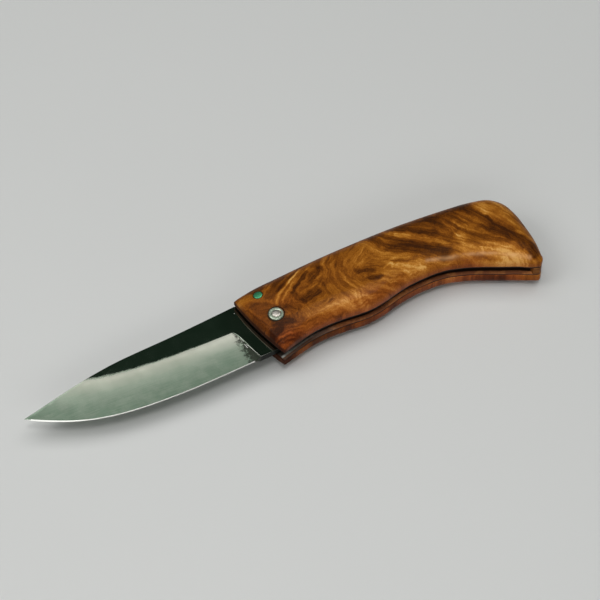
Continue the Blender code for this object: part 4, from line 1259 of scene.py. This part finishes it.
def blade_steel():
    """Mirror flats, satin bevels and a bright sharpened edge, told apart by the grind value.

    The bevel shades from pale, by the flat and the plunge, to green by the edge, and the flats are
    tinted green and darker by the handle: painted reflections. Dark blotches in the plunge are a
    painted dark reflection, thin bright lines at its end are painted highlights, the walls are
    darkened as painted shade, and the edge's near-white colour is partly a painted highlight."""
    material, place = new_material("blade_steel")
    ground, across, cove, turn, wall = written(place, "grind", "across", "cove", "turn", "wall")
    lines, patches = grouped("brushed lines", place, Fineness=7000, Length=160)
    (spots,) = grouped("blotches", place, Scale=230, Cover=0.42)
    cloud = noise(place, 340, 3)
    bevel = (ground + 0.5 * cloud).ranged(0.45, 0.95)
    edge = ground.ranged(1.3, 1.8)
    up_bevel = across + 0.10 * cloud
    # Painted reflection: the bevel shades from green by the edge to pale by the flat.
    bevel_reflection_tint = ramp(
        up_bevel,
        (0.08, (0.130, 0.205, 0.140)),
        (0.40, (0.175, 0.250, 0.180)),
        (0.66, (0.280, 0.345, 0.265)),
        (0.90, (0.430, 0.460, 0.370)),
        (1.00, (0.540, 0.550, 0.460)),
    )
    # Painted highlight on the bevel's upper part, towards the plunge.
    plunge_highlight = along_knife(place, -36, -17) * up_bevel.ranged(0.62, 0.98, 0, 0.75)
    satin = covered(
        bevel_reflection_tint,
        (plunge_highlight, (0.700, 0.700, 0.610)),
        (lines.ranged(0.3, 0.7, 0, 0.34), (0.40, 0.42, 0.36)),
        (0.14 * spots, (0.46, 0.47, 0.40)),
    )
    # Painted reflections: the flats' green tint, from a green backdrop, and their darker band by the
    # handle.
    handle_reflection = along_knife(place, -20, -11, 0, 0.5)
    mirror = covered((0.37, 0.46, 0.36), (handle_reflection, (0.20, 0.20, 0.16)))
    # Painted dark reflection: blotches in the plunge, and over the bevel's turn there.
    plunge_dark_reflection = 4.6 * noise(place, 900, 5, 0.7) + cove - 0.8 * across
    plunge_dark_reflection = plunge_dark_reflection.ranged(2.45, 3.5, 0, 0.94) * cove.ranged(0.1, 0.5) * bevel
    plunge_dark_reflection = plunge_dark_reflection.math("MAXIMUM", turn.ranged(0.2, 0.7, 0, 0.94))
    colour = covered(
        mirror,
        (bevel, satin),
        (plunge_dark_reflection, (0.020, 0.022, 0.016)),
        # The edge's near-white colour is partly a painted highlight.
        (edge, (0.84, 0.84, 0.80)),
        # Walls darkened as painted shade, the tang's nearly black.
        (wall.ranged(0.3, 0.9, 0, 0.6), (0.10, 0.10, 0.09)),
        (wall.ranged(1.1, 1.9, 0, 0.96), (0.010, 0.011, 0.010)),
    )
    rough = bevel * patches.ranged(0.3, 0.7, 0.26, 0.34) + patches.ranged(0.3, 0.7, 0.05, 0.09)
    rough = rough + 0.12 * edge + wall.ranged(0.3, 0.9, 0, 0.25)
    # Painted highlights along the listed lines, kept off the walls.
    for line in PAINTED_HIGHLIGHT_LINES:
        bright = ruled(place, *line) * wall.ranged(0, 0.6, 1, 0)
        colour = covered(colour, (bright, (0.90, 0.88, 0.84)))
        rough = rough.math("MAXIMUM", 0.42 * bright)
    normal = bump(lines * (0.9 * bevel + 0.1), SCRATCH_DEPTH, 0.6)
    return finished(material, Base_Color=colour, Metallic=1, Roughness=rough, Normal=normal)


def turned_metal(name, clean, tarnished, roughness, middle, shaft=None):
    """Turned, polished metal with rings from the lathe and spots of tarnish.

    A shaft's colour covers all that isn't written as the pin's end."""
    material, place = new_material(name)
    (spots,) = grouped("blotches", place, Scale=900, Cover=0.45)
    colour = covered(clean, (spots, tarnished))
    if shaft:
        (end,) = written(place, "end")
        colour = covered(shaft, (end, colour))
    rough = spots.ranged(0, 1, roughness, roughness + 0.14)
    radius = ((place - middle) * FROM_ABOVE).length()
    normal = bump((LATHE_RINGS * radius).math("SINE"), SCRATCH_DEPTH)
    return finished(material, Base_Color=colour, Metallic=1, Roughness=rough, Normal=normal)


def sheet_steel():
    """Liner steel: brushed along the knife, painted bright brown behind the front as lit wood and its
    reflection in the slot, darker near the rim at the front, and painted shade deep in the slot and
    on its walls. A short painted glint lies at the heel."""
    material, place = new_material("liner_steel")
    wall, from_belly = written(place, "wall", "depth")
    lines, patches = grouped("brushed lines", place, Fineness=6000, Length=120)
    (spots,) = grouped("blotches", place, Scale=140, Cover=0.5)
    # Painted light: bright brown behind the front, standing for lit wood and its reflection.
    brown = along_knife(place, 6, 20)
    slot_painted_light = covered((0.560, 0.215, 0.066), (spots, (0.240, 0.085, 0.036)))
    depth = from_belly + 0.5 * patches
    # Darker brown near the rim, at the front only.
    dark_near_front_rim = depth.ranged(1.2, 1.6, 0.95, 0) * brown.ranged(0.2, 0.8, 1, 0)
    # Painted shade deep in the slot.
    deep = depth.ranged(1.8, 2.3, 0, 0.97)
    colour = covered(
        (0.44, 0.43, 0.38),
        (lines, (0.66, 0.65, 0.58)),
        (0.6 * spots, (0.13, 0.075, 0.045)),
        (brown, slot_painted_light),
        (dark_near_front_rim, (0.110, 0.048, 0.024)),
        # A painted glint at the heel.
        (ruled(place, (-3.1, -10.4), (-2.3, -10.9), 0.6), (0.70, 0.70, 0.64)),
        (deep, (0.020, 0.012, 0.008)),
        # Painted shade on the liner's walls.
        (wall, (0.014, 0.008, 0.006)),
    )
    dull = dark_near_front_rim
    for other in (brown, wall, deep):
        dull = dull.math("MAXIMUM", other)
    return finished(
        material,
        Base_Color=colour,
        Metallic=spots.ranged(0, 1, 0.55, 0.20) * dull.ranged(0, 0.9, 1, 0),
        Roughness=spots.ranged(0, 1, 0.34, 0.50),
        Specular_IOR_Level=0.15,
        Normal=bump(lines, 0.000005, 0.6),
    )


def strip_wood():
    """Plain straight-grained wood for the spacer: bands drawn out along the knife."""
    material, place = new_material("spacer_wood")
    bands = noise(place * (60, 900, 900), 1, 5)
    dark, middle, pale = (0.070, 0.022, 0.006), (0.170, 0.058, 0.013), (0.320, 0.125, 0.030)
    return finished(
        material,
        Base_Color=ramp(bands, (0.25, dark), (0.5, middle), (0.8, pale)),
        Roughness=bands.ranged(0.3, 0.7, 0.38, 0.5),
        Specular_IOR_Level=0.15,
        Specular_Tint=WOOD_TINT,
        Normal=bump(bands, 0.00005),
    )


def plain_floor():
    """A pale matt floor with a very faint mottle."""
    material, place = new_material("studio_floor")
    colour = covered((0.70, 0.70, 0.69), (noise(place, 6, 2), (0.73, 0.73, 0.72)))
    return finished(material, Base_Color=colour, Roughness=0.85, Specular_IOR_Level=0.2)


def dress(piece, material):
    """Gives a piece its one material."""
    piece.data.materials.clear()
    piece.data.materials.append(material)


def add_piece(piece, material, body, slot, *nodes):
    """Gives a piece its material and its body, and hides the nodes that it stands for. Its slot is not
    used.
    """
    dress(piece, material)
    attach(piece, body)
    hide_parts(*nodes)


def facing(holder, place, aim):
    """Puts a light or a camera at a place and turns it towards its aim."""
    holder.location = place
    holder.rotation_euler = (Vector(aim) - Vector(place)).to_track_quat("-Z", "Y").to_euler()


def area_light(name, place, size, radiance):
    """A soft box turned towards the knife. Its power is its brightness times pi times its area."""
    light = bpy.data.lights.new(name, "AREA")
    light.shape = "RECTANGLE"
    light.size, light.size_y = size
    light.energy = radiance * math.pi * size[0] * size[1]
    facing(linked(name, light), place, (0, 0, 0))


def around(azimuth, elevation, distance):
    """A place round the knife. Azimuth 0 is away from the camera and 90 is to its left."""
    turn, rise = math.radians(90 - VIEW_TURN + azimuth), math.radians(elevation)
    flat = distance * math.cos(rise)
    return (flat * math.cos(turn), flat * math.sin(turn), distance * math.sin(rise))


def make_camera():
    """A long lens from the belly's side, level across, at the photograph's angle."""
    camera = bpy.data.cameras.new("view")
    camera.lens = LENS
    camera.sensor_width = SENSOR
    holder = linked("view", camera)
    aim = Vector(PIVOT) + Vector(VIEW_PLACE)
    facing(holder, aim + Vector(around(180, VIEW_ELEVATION, VIEW_DISTANCE)), aim)
    bpy.context.scene.camera = holder


def make_studio():
    """A wide pale floor, soft boxes and a dim, faintly green surround."""
    floor_mesh = bpy.data.meshes.new("floor")
    corners = [(-1, -1, 0), (1, -1, 0), (1, 1, 0), (-1, 1, 0)]
    floor_mesh.from_pydata(np.multiply(corners, FLOOR_HALF).tolist(), [], [(0, 1, 2, 3)])
    floor = linked("floor", floor_mesh)
    dress(floor, plain_floor())
    for name, place, size, radiance in LIGHTS:
        area_light(name, around(*place), size, radiance)
    world = bpy.data.worlds.new("surround")
    world.use_nodes = True
    background = world.node_tree.nodes["Background"]
    feed(background, {"Color": (0.018, 0.030, 0.022, 1), "Strength": 1})
    bpy.context.scene.world = world
    bpy.context.scene.view_settings.view_transform = "Standard"


def main():
    """Sets the view and the studio, and makes every piece in its metal or wood."""
    make_camera()
    make_studio()
    # The washers' green tint is partly a painted reflection of a green backdrop, and the pin head's
    # pale pink is partly a painted highlight.
    nickel = turned_metal("nickel_silver", (0.54, 0.61, 0.49), (0.36, 0.42, 0.32), 0.36, PIVOT_SPOT)
    head = turned_metal("pin_head", (0.88, 0.80, 0.74), (0.46, 0.42, 0.36), 0.34, PIVOT_SPOT)
    bronze = turned_metal("bronze", (0.56, 0.36, 0.19), (0.32, 0.18, 0.09), 0.35, PIVOT_SPOT)
    steel = turned_metal("pin_steel", (0.58, 0.58, 0.57), (0.40, 0.40, 0.38), 0.30, STOP_PIN_SPOT)
    # The stop pin's ends are painted green, a painted reflection of a green backdrop.
    green_reflection_colours, shaft = ((0.16, 0.62, 0.32), (0.08, 0.42, 0.20)), (0.56, 0.56, 0.54)
    stop_metal = turned_metal("stop_pin_steel", *green_reflection_colours, 0.36, STOP_PIN_SPOT, shaft)
    liner_steel = sheet_steel()

    add_piece(make_blade(), blade_steel(), "blade", "blade_steel", "blade")
    for word, side, seed in (("left", 1, 5), ("right", -1, 61)):
        scale = "scale_" + word
        wood = burl_wood("burl_" + word, seed)
        add_piece(make_scale(scale, side, seed), wood, "handle", "burl_wood", scale)
        liner = "liner_" + word
        add_piece(make_liner(liner, side), liner_steel, "handle", "liner_steel", liner)
        washer = "outer_washer_" + word
        add_piece(make_washer(washer, side), nickel, "handle", "nickel_silver", washer)
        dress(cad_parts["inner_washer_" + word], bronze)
    add_piece(make_spacer(), strip_wood(), "handle", "spacer_wood", "back_spacer")
    add_piece(make_pivot_pin(), head, "handle", "nickel_silver", "pivot_pin")
    add_piece(make_stop_pin(), stop_metal, "handle", "pin_steel", "stop_pin")
    for word in ("front", "middle", "rear"):
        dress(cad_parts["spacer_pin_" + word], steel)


main()
